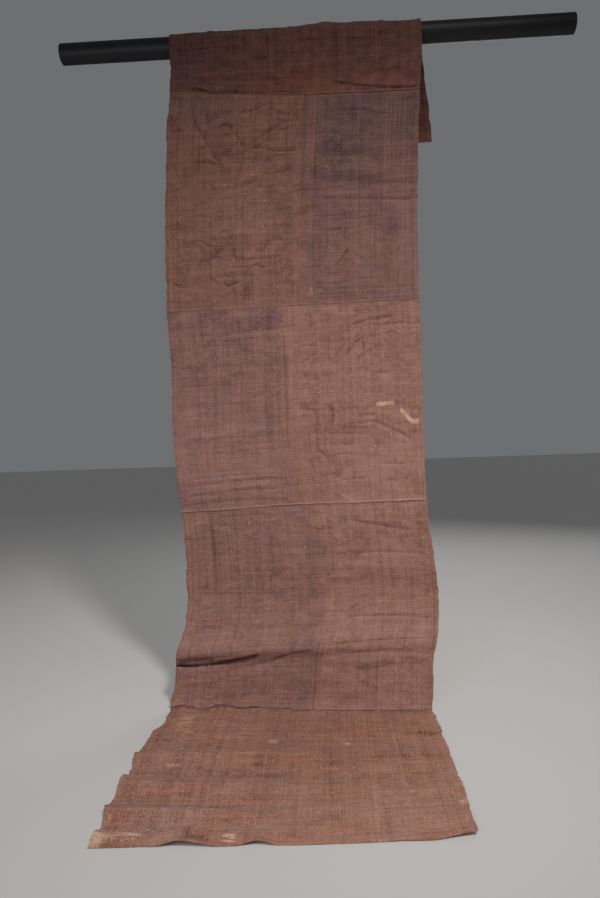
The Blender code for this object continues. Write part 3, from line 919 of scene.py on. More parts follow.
    def grid(
        self, across: np.ndarray, run: np.ndarray
    ) -> tuple[np.ndarray, np.ndarray, dict[str, np.ndarray]]:
        """The underside over a grid of places.

        Args:
            across: The places across, with rows down the cloth.
            run: The places along.

        Returns:
            The points in metres, the outward unit normals, and the painted shade and thread lines of the
            creases.
        """
        height, tones = self.relief(across, run)
        points = self.bare(across, run)
        points = points + self.grid_normals(points) * height[..., None] * MM
        points[..., 2] = np.maximum(points[..., 2], 0)
        return points, self.grid_normals(points), tones

    @staticmethod
    def grid_normals(points: np.ndarray) -> np.ndarray:
        """The outward unit normals of a grid of points."""
        normal = np.cross(np.gradient(points, axis=0), np.gradient(points, axis=1))
        return normal / np.linalg.norm(normal, axis=-1, keepdims=True)

    def surface(self, across: np.ndarray, run: np.ndarray) -> np.ndarray:
        """The underside with its creases, in metres, and never below the floor."""
        height, _ = self.relief(across, run)
        points = self.bare(across, run) + self.normals(self.bare, across, run) * height[..., None] * MM
        points[..., 2] = np.maximum(points[..., 2], 0)
        return points

    @staticmethod
    def normals(made: object, across: np.ndarray, run: np.ndarray, step: float = 1.0) -> np.ndarray:
        """The outward unit normals of a surface.

        Args:
            made: The function that gives the surface's points.
            across: The places across.
            run: The places along.
            step: Half the distance over which the slopes are read.

        Returns:
            One normal for each place.
        """
        down = made(across, run + step) - made(across, run - step)
        right = made(across + step, run) - made(across - step, run)
        normal = np.cross(down, right)
        return normal / np.linalg.norm(normal, axis=-1, keepdims=True)


def srgb(code: str) -> tuple[float, float, float, float]:
    """Turns an sRGB hex colour to linear values."""
    values = [int(code[i : i + 2], 16) / 255 for i in (1, 3, 5)]
    linear = [v / 12.92 if v <= 0.04045 else ((v + 0.055) / 1.055) ** 2.4 for v in values]
    return (*linear, 1.0)


def add_node(
    tree: bpy.types.NodeTree, kind: str, inputs: dict | None = None, **settings: object
) -> bpy.types.Node:
    """Adds a node with its settings and links.

    Args:
        tree: The node tree.
        kind: The node's type.
        inputs: Values, or output sockets to link, by the input's name or number.
        **settings: The node's own settings.

    Returns:
        The new node.
    """
    node = tree.nodes.new(kind)
    for name, value in settings.items():
        setattr(node, name, value)
    for name, value in (inputs or {}).items():
        if isinstance(value, bpy.types.NodeSocket):
            tree.links.new(value, node.inputs[name])
        else:
            node.inputs[name].default_value = value
    return node


def new_material(name: str) -> tuple[bpy.types.Material, bpy.types.NodeTree, bpy.types.Node]:
    """A new material, its node tree and its Principled shader."""
    material = bpy.data.materials.new(name)
    material.use_nodes = True
    return material, material.node_tree, material.node_tree.nodes["Principled BSDF"]


@dataclass(frozen=True)
class WovenRaffia:
    """Plain-woven raffia, dyed by hand, old and dry.

    Raffia is a flat, stiff leaf fibre. The eye gets a dry, matt cloth with long streaks both ways, because
    each strip of leaf took the dye differently, and short pale flecks where the surface is rubbed.

    Attributes:
        name: The material's name.
        brown: The dye where it stayed brown.
        mauve: The dye where it turned mauve.
        pale: The rubbed fibre.
        streaks: How strong the streaks are.
        flecks: How many pale flecks there are, from 0.
        coarse: How much larger the features are than on the hanging cloth.
        strip_width: The width of the strips of one dye, in millimetres.
        warp_length: How long the upright strips run.
        weft_length: How long the strips across run.
        band_width: The width of the upright bands of one dye.
        thread_pitch: The distance between threads.
        mottled: How strong the blotches of the dye are.
        seed: What sets this panel's strips apart from the others'.
    """

    name: str
    brown: str
    mauve: str
    pale: str
    streaks: float = 1.0
    flecks: float = 0.5
    coarse: float = 1.0
    strip_width: float = 3.6
    warp_length: float = 560.0
    weft_length: float = 240.0
    band_width: float = 13.0
    thread_pitch: float = 1.3
    mottled: float = 0.45
    seed: float = 0.0

    def material(self) -> bpy.types.Material:
        """Builds the material."""
        material, tree, shader = new_material(self.name)
        cloth = add_node(tree, "ShaderNodeUVMap", uv_map=UV_MAP).outputs[0]
        wander = add_node(tree, "ShaderNodeTexNoise", {"Vector": cloth, "Scale": 16.0, "Detail": 3.0})
        # Threads wander by a few millimetres, as hand-beaten weft does.
        offset = add_node(
            tree,
            "ShaderNodeVectorMath",
            {0: wander.outputs["Color"], 1: (0.005,) * 3, 2: (-0.0025 + self.seed,) * 3},
            operation="MULTIPLY_ADD",
        )
        place = add_node(tree, "ShaderNodeVectorMath", {0: cloth, 1: offset.outputs[0]}).outputs[0]
        warp = self.noise(tree, place, (self.strip_width, self.warp_length), detail=2.0)
        weft = self.noise(tree, place, (self.weft_length, self.strip_width), detail=2.0)
        band = self.noise(tree, place, (self.band_width, 3 * self.warp_length), detail=1.0, shift=2.0)
        broken = self.noise(tree, place, (30, 4.4), detail=2.0, shift=7.0)
        grain = self.noise(tree, place, (2.6, 2.6), detail=1.0)
        mottle = self.noise(tree, place, (36, 26), detail=3.0)
        patchy = self.noise(tree, place, (75, 60), detail=1.0, shift=5.0)
        aside = add_node(tree, "ShaderNodeAttribute", attribute_name="aside").outputs["Fac"]
        line = add_node(tree, "ShaderNodeAttribute", attribute_name="line").outputs["Fac"]
        # A crease's line, painted shade in a fold and a thread's tone on a drawn line, is darkest at no
        # distance and fades as a bell curve of the distance.
        less = add_node(tree, "ShaderNodeMath", {0: aside, 1: -1.0}, operation="MULTIPLY").outputs[0]
        less = add_node(tree, "ShaderNodeMath", {0: aside, 1: less}, operation="MULTIPLY").outputs[0]
        bell = add_node(tree, "ShaderNodeMath", {0: less}, operation="EXPONENT").outputs[0]
        drawn = add_node(tree, "ShaderNodeMath", {0: bell, 1: line}, operation="MULTIPLY").outputs[0]
        # This attribute holds the dye's lighter and darker patches together with painted light and shade: the
        # wide creases, the seams' gaps and turned edges, and the patches that follow the lamp.
        marks = add_node(tree, "ShaderNodeAttribute", attribute_name="marks").outputs["Fac"]
        tone = add_node(tree, "ShaderNodeAttribute", attribute_name="mauve").outputs["Fac"]
        worn = add_node(tree, "ShaderNodeAttribute", attribute_name="worn").outputs["Fac"]
        shares = ((warp, 0.24), (weft, 0.24), (band, 0.3), (broken, 0.2), (grain, 0.35))
        shares = (*shares, (mottle, self.mottled))
        shares = [(value, share * self.streaks) for value, share in shares]
        even = 1.0 - 0.5 * sum(share for _, share in shares)
        total = self.add_up(tree, marks, even, *shares, (drawn, -1.0))
        # Painted glints: the dry leaf's glints have no tint of their own, so part of the fine contrast is
        # painted into the base colour as grey.
        glints = ((warp, 0.46), (weft, 0.44), (broken, 0.32), (grain, 0.8))
        glints = [(value, share * self.streaks * srgb(self.brown)[1]) for value, share in glints]
        glint = self.add_up(tree, 0.0, -0.5 * sum(share for _, share in glints), *glints)
        hue = self.add_up(tree, tone, -0.35, (patchy, 0.35), (band, 0.35))
        dye = add_node(
            tree,
            "ShaderNodeMix",
            {0: hue, 6: srgb(self.brown), 7: srgb(self.mauve)},
            data_type="RGBA",
        ).outputs[2]
        lit = 0.70 - 0.08 * self.flecks
        fleck = add_node(
            tree,
            "ShaderNodeMapRange",
            {0: grain, 1: lit, 2: lit + 0.06},
            interpolation_type="SMOOTHSTEP",
        ).outputs[0]
        fleck = add_node(tree, "ShaderNodeMath", {0: fleck, 1: patchy}, operation="MULTIPLY").outputs[0]
        rub = add_node(
            tree, "ShaderNodeMapRange", {0: broken, 1: 0.36, 2: 0.60}, interpolation_type="SMOOTHSTEP"
        ).outputs[0]
        rub = add_node(tree, "ShaderNodeMath", {0: rub, 1: worn}, operation="MULTIPLY").outputs[0]
        pale = add_node(
            tree, "ShaderNodeMath", {0: fleck, 1: 0.8, 2: rub}, operation="MULTIPLY_ADD", use_clamp=True
        ).outputs[0]
        fibre = add_node(
            tree, "ShaderNodeMix", {0: pale, 6: dye, 7: srgb(self.pale)}, data_type="RGBA"
        ).outputs[2]
        colour = add_node(
            tree, "ShaderNodeVectorMath", {0: fibre, 1: total, 2: glint}, operation="MULTIPLY_ADD"
        ).outputs[0]
        tree.links.new(colour, shader.inputs["Base Color"])
        roughness = add_node(
            tree, "ShaderNodeMath", {0: grain, 1: -0.3, 2: 0.95}, operation="MULTIPLY_ADD"
        ).outputs[0]
        tree.links.new(roughness, shader.inputs["Roughness"])
        shader.inputs["Specular IOR Level"].default_value = 0.25
        shader.inputs["Sheen Weight"].default_value = 0.12
        shader.inputs["Sheen Roughness"].default_value = 0.6
        height = self.add_up(
            tree,
            self.crossing(tree, place),
            0.0,
            (warp, 0.6),
            (weft, 0.7),
            (broken, 0.7),
            (drawn, -2.2),
        )
        bump = add_node(tree, "ShaderNodeBump", {"Height": height, "Strength": 0.6, "Distance": 1.2 * MM})
        tree.links.new(bump.outputs[0], shader.inputs["Normal"])
        return material

    @staticmethod
    def add_up(
        tree: bpy.types.NodeTree,
        first: bpy.types.NodeSocket | float,
        constant: float,
        *terms: tuple[bpy.types.NodeSocket, float],
    ) -> bpy.types.NodeSocket:
        """A first value plus a constant and weighted terms."""
        total = add_node(tree, "ShaderNodeMath", {0: first, 1: constant}, operation="ADD").outputs[0]
        for value, share in terms:
            total = add_node(
                tree, "ShaderNodeMath", {0: value, 1: share, 2: total}, operation="MULTIPLY_ADD"
            ).outputs[0]
        return total

    def noise(
        self,
        tree: bpy.types.NodeTree,
        place: bpy.types.NodeSocket,
        pitch: tuple[float, float],
        detail: float,
        shift: float = 0.0,
    ) -> bpy.types.NodeSocket:
        """Noise on the cloth's own map, with the size of its features given in millimetres each way."""
        scale = (1 / (pitch[0] * self.coarse * MM), 1 / (pitch[1] * self.coarse * MM), 1)
        laid = add_node(
            tree,
            "ShaderNodeVectorMath",
            {0: place, 1: scale, 2: (0, 0, shift)},
            operation="MULTIPLY_ADD",
        ).outputs[0]
        settings = {"Vector": laid, "Scale": 1.0, "Detail": detail, "Roughness": 0.6}
        return add_node(tree, "ShaderNodeTexNoise", settings).outputs[0]

    def crossing(self, tree: bpy.types.NodeTree, place: bpy.types.NodeSocket) -> bpy.types.NodeSocket:
        """The over-and-under of the single threads."""
        turn = math.pi / (self.thread_pitch * MM)
        turned = add_node(
            tree, "ShaderNodeVectorMath", {0: place, 1: (turn, turn, 0)}, operation="MULTIPLY"
        ).outputs[0]
        waves = add_node(tree, "ShaderNodeVectorMath", {0: turned}, operation="SINE").outputs[0]
        parts = add_node(tree, "ShaderNodeSeparateXYZ", {0: waves})
        return add_node(
            tree, "ShaderNodeMath", {0: parts.outputs[0], 1: parts.outputs[1]}, operation="MULTIPLY"
        ).outputs[0]


@dataclass(frozen=True)
class RaffiaThread:
    """Split raffia used as sewing thread: a little glossier than the cloth, with darker and paler lengths."""

    name: str
    dark: str
    light: str

    def material(self) -> bpy.types.Material:
        """Builds the material."""
        material, tree, shader = new_material(self.name)
        place = add_node(tree, "ShaderNodeTexCoord").outputs["Object"]
        lengths = add_node(
            tree, "ShaderNodeTexNoise", {"Vector": place, "Scale": 60.0, "Detail": 3.0}
        ).outputs[0]
        spread = add_node(tree, "ShaderNodeMapRange", {0: lengths, 1: 0.35, 2: 0.65}).outputs[0]
        colour = add_node(
            tree,
            "ShaderNodeMix",
            {0: spread, 6: srgb(self.dark), 7: srgb(self.light)},
            data_type="RGBA",
        ).outputs[2]
        tree.links.new(colour, shader.inputs["Base Color"])
        shader.inputs["Roughness"].default_value = 0.62
        fibres = add_node(tree, "ShaderNodeTexNoise", {"Vector": place, "Scale": 1600.0}).outputs[0]
        bump = add_node(tree, "ShaderNodeBump", {"Height": fibres, "Strength": 0.4, "Distance": 0.2 * MM})
        tree.links.new(bump.outputs[0], shader.inputs["Normal"])
        return material


@dataclass(frozen=True)
class PaintedWood:
    """A wooden pole under flat dark paint: nearly black, with faint brush lines and paler rubbed spots."""

    name: str
    paint: str
    rubbed: str

    def material(self) -> bpy.types.Material:
        """Builds the material."""
        material, tree, shader = new_material(self.name)
        place = add_node(tree, "ShaderNodeTexCoord").outputs["Object"]
        # Brush lines run along the pole, about 1.5 mm apart.
        drawn = add_node(
            tree, "ShaderNodeVectorMath", {0: place, 1: (6, 650, 650)}, operation="MULTIPLY"
        ).outputs[0]
        brush = add_node(
            tree, "ShaderNodeTexNoise", {"Vector": drawn, "Scale": 1.0, "Detail": 3.0}
        ).outputs[0]
        rub = add_node(
            tree, "ShaderNodeTexNoise", {"Vector": place, "Scale": 22.0, "Detail": 5.0}
        ).outputs[0]
        worn = add_node(tree, "ShaderNodeMapRange", {0: rub, 1: 0.58, 2: 0.75, 4: 0.5}).outputs[0]
        colour = add_node(
            tree, "ShaderNodeMix", {0: worn, 6: srgb(self.paint), 7: srgb(self.rubbed)}, data_type="RGBA"
        ).outputs[2]
        tree.links.new(colour, shader.inputs["Base Color"])
        roughness = add_node(
            tree, "ShaderNodeMath", {0: brush, 1: 0.3, 2: 0.38}, operation="MULTIPLY_ADD"
        ).outputs[0]
        tree.links.new(roughness, shader.inputs["Roughness"])
        bump = add_node(tree, "ShaderNodeBump", {"Height": brush, "Strength": 0.25, "Distance": 0.5 * MM})
        tree.links.new(bump.outputs[0], shader.inputs["Normal"])
        return material


@dataclass(frozen=True)
class StudioPaper:
    """Matt paper for the floor: one pale tone with a faint tooth."""

    name: str
    tone: str

    def material(self) -> bpy.types.Material:
        """Builds the material."""
        material, tree, shader = new_material(self.name)
        shader.inputs["Base Color"].default_value = srgb(self.tone)
        shader.inputs["Roughness"].default_value = 0.9
        place = add_node(tree, "ShaderNodeTexCoord").outputs["Object"]
        tooth = add_node(tree, "ShaderNodeTexNoise", {"Vector": place, "Scale": 240.0}).outputs[0]
        bump = add_node(tree, "ShaderNodeBump", {"Height": tooth, "Strength": 0.1, "Distance": 0.5 * MM})
        tree.links.new(bump.outputs[0], shader.inputs["Normal"])
        return material


def new_piece(name: str, points: np.ndarray, faces: list, material: bpy.types.Material) -> bpy.types.Object:
    """Makes a smooth mesh object at the origin.

    Args:
        name: The piece's name.
        points: Its points, in metres.
        faces: Its faces.
        material: Its material.

    Returns:
        The object, linked to the scene.
    """
    mesh = bpy.data.meshes.new(name)
    mesh.from_pydata(points.reshape(-1, 3).tolist(), [], faces)
    mesh.materials.append(material)
    mesh.shade_smooth()
    piece = bpy.data.objects.new(name, mesh)
    bpy.context.scene.collection.objects.link(piece)
    return piece


def spread_out(start: float, end: float, pitch: float, close: tuple[float, ...]) -> np.ndarray:
    """Places from a start to an end, close together at both ends and a pitch apart between."""
    near = np.array(close)
    count = round((end - start - 2 * near[-1]) / pitch)
    inner = np.linspace(start + near[-1], end - near[-1], count + 1)[1:-1]
    return np.concatenate([start + near, inner, end - near[::-1]])


@dataclass
class WovenPanel:
    """A woven panel: a closed thin sheet, thicker at its hems and at the turned edges of its seams.

    Attributes:
        name: The piece's name.
        node: The solid that it stands for.
        slot: The record's material slot; not used.
        first: The station where it starts.
        last: The station where it ends.
        hold: How it is held; not used.
        rests_on: What it lies on or hangs from; not used.
        raffia: Its finish.
        creases: Its creases.
        patches: Its patches of tone.
    """

    name: str
    node: str
    slot: str
    first: str
    last: str
    hold: Hold
    rests_on: tuple[str, ...]
    raffia: WovenRaffia
    creases: tuple[Crease, ...]
    patches: tuple[Patch, ...]
    sheet: float = 1.4
    hem: float = 3.0
    hem_width: float = 10.0
    hem_slope: float = 3.0
    head: SeamEdge = SeamEdge()
    foot: SeamEdge = SeamEdge()
    seam_gap: float = 0.4
    edge_radius: float = 1.3
    pitch: float = 3.8
    close: tuple[float, ...] = (0, 0.35, 0.9, 1.7, 2.8, 4.2, 6, 8, 9.6, 11.2, 13, 15.6)

    def ends(self, course: ClothCourse) -> tuple[float, float]:
        """The runs of its two ends, with half a gap left at a seam."""
        start, end = course.run_of(self.first), course.run_of(self.last)
        if self.first != "back hem":
            start += self.seam_gap / 2
        if self.last != "front hem":
            end -= self.seam_gap / 2
        return start, end

    def thickness(self, course: ClothCourse, across: np.ndarray, run: np.ndarray) -> np.ndarray:
        """How thick the cloth is at each place, before its edges are rounded."""
        side = np.minimum(across, CLOTH_WIDTH - across)
        hem = np.minimum(side, np.minimum(run, course.length - run))
        turned = 1 - fade(hem - self.hem_width, self.hem_slope)
        rise = np.zeros_like(run)
        for edge, seam in self.seams(course, run):
            rise += edge.rise * np.exp(-(((seam - 0.5 * edge.width) / edge.width) ** 2))
        rise *= 1 + 0.35 * uneven(across, run, (16, 60), 21)
        return self.sheet + np.maximum((self.hem - self.sheet) * turned, rise)

    def seams(self, course: ClothCourse, run: np.ndarray) -> list[tuple[SeamEdge, np.ndarray]]:
        """The panel's edges at seams, each with the distance of every place from it."""
        start, end = self.ends(course)
        edges = []
        if self.first != "back hem":
            edges.append((self.head, run - start))
        if self.last != "front hem":
            edges.append((self.foot, end - run))
        return edges

    def marks(
        self, course: ClothCourse, across: np.ndarray, run: np.ndarray, tones: dict[str, np.ndarray]
    ) -> dict[str, np.ndarray]:
        """The tone of each place: lighter or darker, from the dye and from painted light and shade, how mauve
        and how worn.

        Args:
            course: The cloth's course.
            across: The places across, on the even grid.
            run: The places along.
            tones: The painted shade and thread lines of the creases.

        Returns:
            The values of each attribute that the raffia reads.
        """
        # Painted light and shade: wide creases and the seams' gaps are painted darker, the seams' turned edges
        # paler as painted highlights, and some patches follow how the lamp falls.
        light = -tones["shade"]
        for edge, seam in self.seams(course, run):
            broken = 1 + 0.6 * uneven(across, run, (34, 900), 22)
            light -= edge.groove * broken * np.exp(-((seam / edge.groove_width) ** 2))
            light += edge.pale * broken * np.exp(-(((seam - 3.2) / 1.8) ** 2))
        across, run = course.drift(across, run)
        mauve, worn = np.zeros_like(light), np.zeros_like(light)
        down = run - course.run_of(self.first)
        ragged_a = 0.5 * uneven(across, run, (28, 90), 31) + 0.3 * uneven(across, run, (7, 120), 32)
        ragged_d = 0.5 * uneven(across, run, (90, 24), 33) + 0.3 * uneven(across, run, (120, 7), 34)
        blotchy = 1 + 0.35 * uneven(across, run, (52, 40), 35) + 0.25 * uneven(across, run, (16, 22), 36)
        for patch in self.patches:
            inside_a = patch.half_across - np.abs(across - patch.across + patch.soft * ragged_a)
            inside_d = patch.half_down - np.abs(down - patch.down + patch.soft * ragged_d)
            weight = fade(inside_a + patch.soft / 2, patch.soft)
            weight = weight * fade(inside_d + patch.soft / 2, patch.soft) * blotchy
            mauve += patch.mauve * weight
            light += patch.light * weight
            worn += patch.worn * weight
        read = {"marks": light, "mauve": mauve, "worn": worn}
        return {**read, "aside": tones["aside"], "line": tones["line"]}

    def build(self, course: ClothCourse) -> bpy.types.Object:
        """Args:
            course: The cloth's course, with every panel's creases.

        Returns:
            The panel's object.
        """
        start, end = self.ends(course)
        columns = spread_out(0, CLOTH_WIDTH, self.pitch, self.close)
        rows = spread_out(start, end, self.pitch, self.close)
        across, run = np.meshgrid(columns, rows)
        placed = course.drift(across, run)
        surface, normal, tones = course.grid(*placed)
        edge = np.minimum(np.minimum(across, CLOTH_WIDTH - across), np.minimum(run - start, end - run))
        round_off = np.sqrt(np.clip(1 - (1 - np.clip(edge / self.edge_radius, 0, 1)) ** 2, 0, 1))
        full = self.thickness(course, across, run)
        body = full * round_off
        outer = surface + normal * ((full + body) / 2)[..., None] * MM
        inner = surface + normal * ((full - body) / 2)[..., None] * MM
        inner[..., 2] = np.maximum(inner[..., 2], 0.0002)
        count_down, count_across = across.shape
        index = np.arange(across.size).reshape(across.shape)
        under = index.copy()
        under[1:-1, 1:-1] = across.size + np.arange((count_down - 2) * (count_across - 2)).reshape(
            count_down - 2, count_across - 2
        )
        faces = self.quads(index)[:, ::-1].tolist() + self.quads(under).tolist()
        points = np.concatenate([outer.reshape(-1, 3), inner[1:-1, 1:-1].reshape(-1, 3)])
        piece = new_piece(self.name, points, faces, self.raffia.material())
        flat = np.stack(placed, -1) * MM
        flat = np.concatenate([flat.reshape(-1, 2), flat[1:-1, 1:-1].reshape(-1, 2)])
        corners = np.zeros(len(piece.data.loops), np.int32)
        piece.data.loops.foreach_get("vertex_index", corners)
        layer = piece.data.uv_layers.new(name=UV_MAP)
        layer.data.foreach_set("uv", flat[corners].astype(np.float32).ravel())
        for name, values in self.marks(course, across, run, tones).items():
            both = np.concatenate([values.ravel(), values[1:-1, 1:-1].ravel()])
            attribute = piece.data.attributes.new(name, "FLOAT", "POINT")
            attribute.data.foreach_set("value", both.astype(np.float32))
        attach(piece, "root")
        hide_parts(self.node)
        log.info("%s: %d triangles", self.name, 2 * len(faces))
        return piece

    @staticmethod
    def quads(index: np.ndarray) -> np.ndarray:
        """The four-sided faces between the points of a grid."""
        corners = (index[:-1, :-1], index[:-1, 1:], index[1:, 1:], index[1:, :-1])
        return np.stack(corners, -1).reshape(-1, 4)

    def declare(self, course: ClothCourse, piece: bpy.types.Object, sewn: list[bpy.types.Object]) -> None:
        start, end = self.ends(course)


@dataclass(frozen=True)
class Stitching:
    """A row of hand stitches along a line on the cloth.

    Attributes:
        name: The piece's name.
        spacing: The distance between stitches.
        length: The length of thread that shows.
        thread: The thread's thickness.
        arch: How high the middle of a stitch stands.
        lean: The angle from square across the line, in degrees.
        wander: How far that angle varies, in degrees.
        seed: The seed of what varies.
    """

    name: str
    spacing: float
    length: float
    thread: float
    arch: float
    lean: float
    wander: float
    seed: int


class StitchTree:
    """The Geometry Nodes tree that lays stitches along a guide line, on the cloth's outward direction."""

    inputs = (
        ("Guide", "NodeSocketGeometry"),
        ("Spacing", "NodeSocketFloat"),
        ("Stitch Length", "NodeSocketFloat"),
        ("Thread", "NodeSocketFloat"),
        ("Arch", "NodeSocketFloat"),
        ("Lean", "NodeSocketFloat"),
        ("Wander", "NodeSocketFloat"),
        ("Seed", "NodeSocketInt"),
        ("Raffia", "NodeSocketMaterial"),
    )

    def __init__(self) -> None:
        self.tree = bpy.data.node_groups.new("hand_stitches", "GeometryNodeTree")
        self.identifiers = {}
        for name, kind in self.inputs:
            socket = self.tree.interface.new_socket(name, in_out="INPUT", socket_type=kind)
            self.identifiers[name] = socket.identifier
        self.tree.interface.new_socket("Stitches", in_out="OUTPUT", socket_type="NodeSocketGeometry")
        self.build()

    def build(self) -> None:
        """Builds the nodes: resampled guide, one arched stitch, its turn, its copies and its material."""
        tree = self.tree
        given = add_node(tree, "NodeGroupInput").outputs
        line = add_node(tree, "GeometryNodeMeshToCurve", {0: given["Guide"]}).outputs[0]
        spots = add_node(
            tree,
            "GeometryNodeResampleCurve",
            {"Curve": line, "Length": given["Spacing"]},
            mode="LENGTH",
        )
        half = add_node(
            tree, "ShaderNodeMath", {0: given["Stitch Length"], 1: 0.5}, operation="MULTIPLY"
        ).outputs[0]
        back = add_node(tree, "ShaderNodeMath", {0: half, 1: -1.0}, operation="MULTIPLY").outputs[0]
        sunk = add_node(
            tree, "ShaderNodeMath", {0: given["Thread"], 1: -0.6}, operation="MULTIPLY"
        ).outputs[0]
        first = add_node(tree, "ShaderNodeCombineXYZ", {"Y": back, "Z": sunk}).outputs[0]
        top = add_node(tree, "ShaderNodeCombineXYZ", {"Z": given["Arch"]}).outputs[0]
        last = add_node(tree, "ShaderNodeCombineXYZ", {"Y": half, "Z": sunk}).outputs[0]
        arc = add_node(
            tree,
            "GeometryNodeCurveQuadraticBezier",
            {"Resolution": 5, "Start": first, "Middle": top, "End": last},
        ).outputs[0]
        thick = add_node(
            tree, "ShaderNodeMath", {0: given["Thread"], 1: 0.5}, operation="MULTIPLY"
        ).outputs[0]
        ring = add_node(
            tree, "GeometryNodeCurvePrimitiveCircle", {"Resolution": 5, "Radius": thick}
        ).outputs[0]
        stitch = add_node(
            tree, "GeometryNodeCurveToMesh", {"Curve": arc, "Profile Curve": ring, "Fill Caps": True}
        ).outputs[0]
        tangent = add_node(tree, "GeometryNodeInputTangent").outputs[0]
        outward = add_node(
            tree, "GeometryNodeInputNamedAttribute", {"Name": "outward"}, data_type="FLOAT_VECTOR"
        ).outputs[0]
        facing = add_node(
            tree,
            "FunctionNodeAxesToRotation",
            {0: outward, 1: tangent},
            primary_axis="Z",
            secondary_axis="X",
        ).outputs[0]
        least = add_node(
            tree, "ShaderNodeMath", {0: given["Wander"], 1: -1.0}, operation="MULTIPLY"
        ).outputs[0]
        vary = add_node(
            tree,
            "FunctionNodeRandomValue",
            {"Min": 0.0, "Max": 1.0, "Seed": given["Seed"]},
            data_type="FLOAT",
        ).outputs["Value"]
        span = add_node(
            tree, "ShaderNodeMath", {0: given["Wander"], 1: least}, operation="SUBTRACT"
        ).outputs[0]
        wander = add_node(
            tree, "ShaderNodeMath", {0: vary, 1: span, 2: least}, operation="MULTIPLY_ADD"
        ).outputs[0]
        lean = add_node(tree, "ShaderNodeMath", {0: given["Lean"], 1: wander}, operation="ADD").outputs[0]
        turn = add_node(tree, "ShaderNodeCombineXYZ", {"Z": lean}).outputs[0]
        turn = add_node(tree, "FunctionNodeEulerToRotation", {0: turn}).outputs[0]
        laid = add_node(
            tree, "FunctionNodeRotateRotation", {0: facing, 1: turn}, rotation_space="LOCAL"
        ).outputs[0]
        size = add_node(
            tree, "ShaderNodeMath", {0: vary, 1: 0.4, 2: 0.8}, operation="MULTIPLY_ADD"
        ).outputs[0]
        copies = add_node(
            tree,
            "GeometryNodeInstanceOnPoints",
            {"Points": spots.outputs[0], "Instance": stitch, "Rotation": laid, "Scale": size},
        ).outputs[0]
        real = add_node(tree, "GeometryNodeRealizeInstances", {0: copies}).outputs[0]
        dressed = add_node(
            tree, "GeometryNodeSetMaterial", {"Geometry": real, "Material": given["Raffia"]}
        ).outputs[0]
        add_node(tree, "NodeGroupOutput", {0: dressed})

    def sew(
        self,
        course: ClothCourse,
        stitching: Stitching,
        ways: list[np.ndarray],
        rise: float,
        material: bpy.types.Material,
    ) -> bpy.types.Object:
        """Sews a row of stitches.

        Args:
            course: The cloth's course.
            stitching: The stitches.
            ways: Lines on the cloth, as rows of across and run.
            rise: How far above the underside the stitches start.
            material: The thread's material.

        Returns:
            The stitches, as one mesh.
        """
        points, normals, edges = [], [], []
        for way in ways:
            across, run = course.drift(way[:, 0], way[:, 1])
            normal = course.normals(course.surface, across, run)
            count = sum(len(part) for part in points)
            points.append(course.surface(across, run) + normal * rise * MM)
            normals.append(normal)
            edges += [(count + k, count + k + 1) for k in range(len(way) - 1)]
        mesh = bpy.data.meshes.new(stitching.name)
        mesh.from_pydata(np.concatenate(points).tolist(), edges, [])
        outward = mesh.attributes.new("outward", "FLOAT_VECTOR", "POINT")
        outward.data.foreach_set("vector", np.concatenate(normals).astype(np.float32).ravel())
        guide = bpy.data.objects.new(stitching.name + "_guide", mesh)
        bpy.context.scene.collection.objects.link(guide)
        modifier = guide.modifiers.new("stitches", "NODES")
        modifier.node_group = self.tree
        values = {
            "Spacing": stitching.spacing * MM,
            "Stitch Length": stitching.length * MM,
            "Thread": stitching.thread * MM,
            "Arch": stitching.arch * MM,
            "Lean": math.radians(stitching.lean),
            "Wander": math.radians(stitching.wander),
            "Seed": stitching.seed,
            "Raffia": material,
        }
        for name, value in values.items():
            modifier[self.identifiers[name]] = value
        bpy.context.view_layer.update()
        made = bpy.data.meshes.new_from_object(guide.evaluated_get(bpy.context.evaluated_depsgraph_get()))
        made.name = stitching.name
        made.shade_smooth()
        bpy.data.objects.remove(guide)
        bpy.data.meshes.remove(mesh)
        piece = bpy.data.objects.new(stitching.name, made)
        bpy.context.scene.collection.objects.link(piece)
        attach(piece, "root")
        log.info("%s: %d faces", stitching.name, len(made.polygons))
        return piece


@dataclass(frozen=True)
class Fibre:
    """A loose curl of pale fibre on the cloth, from its middle; turned in degrees, bent into an arc."""

    across: float
    run: float
    length: float
    turn: float
    bend: float
    thick: float


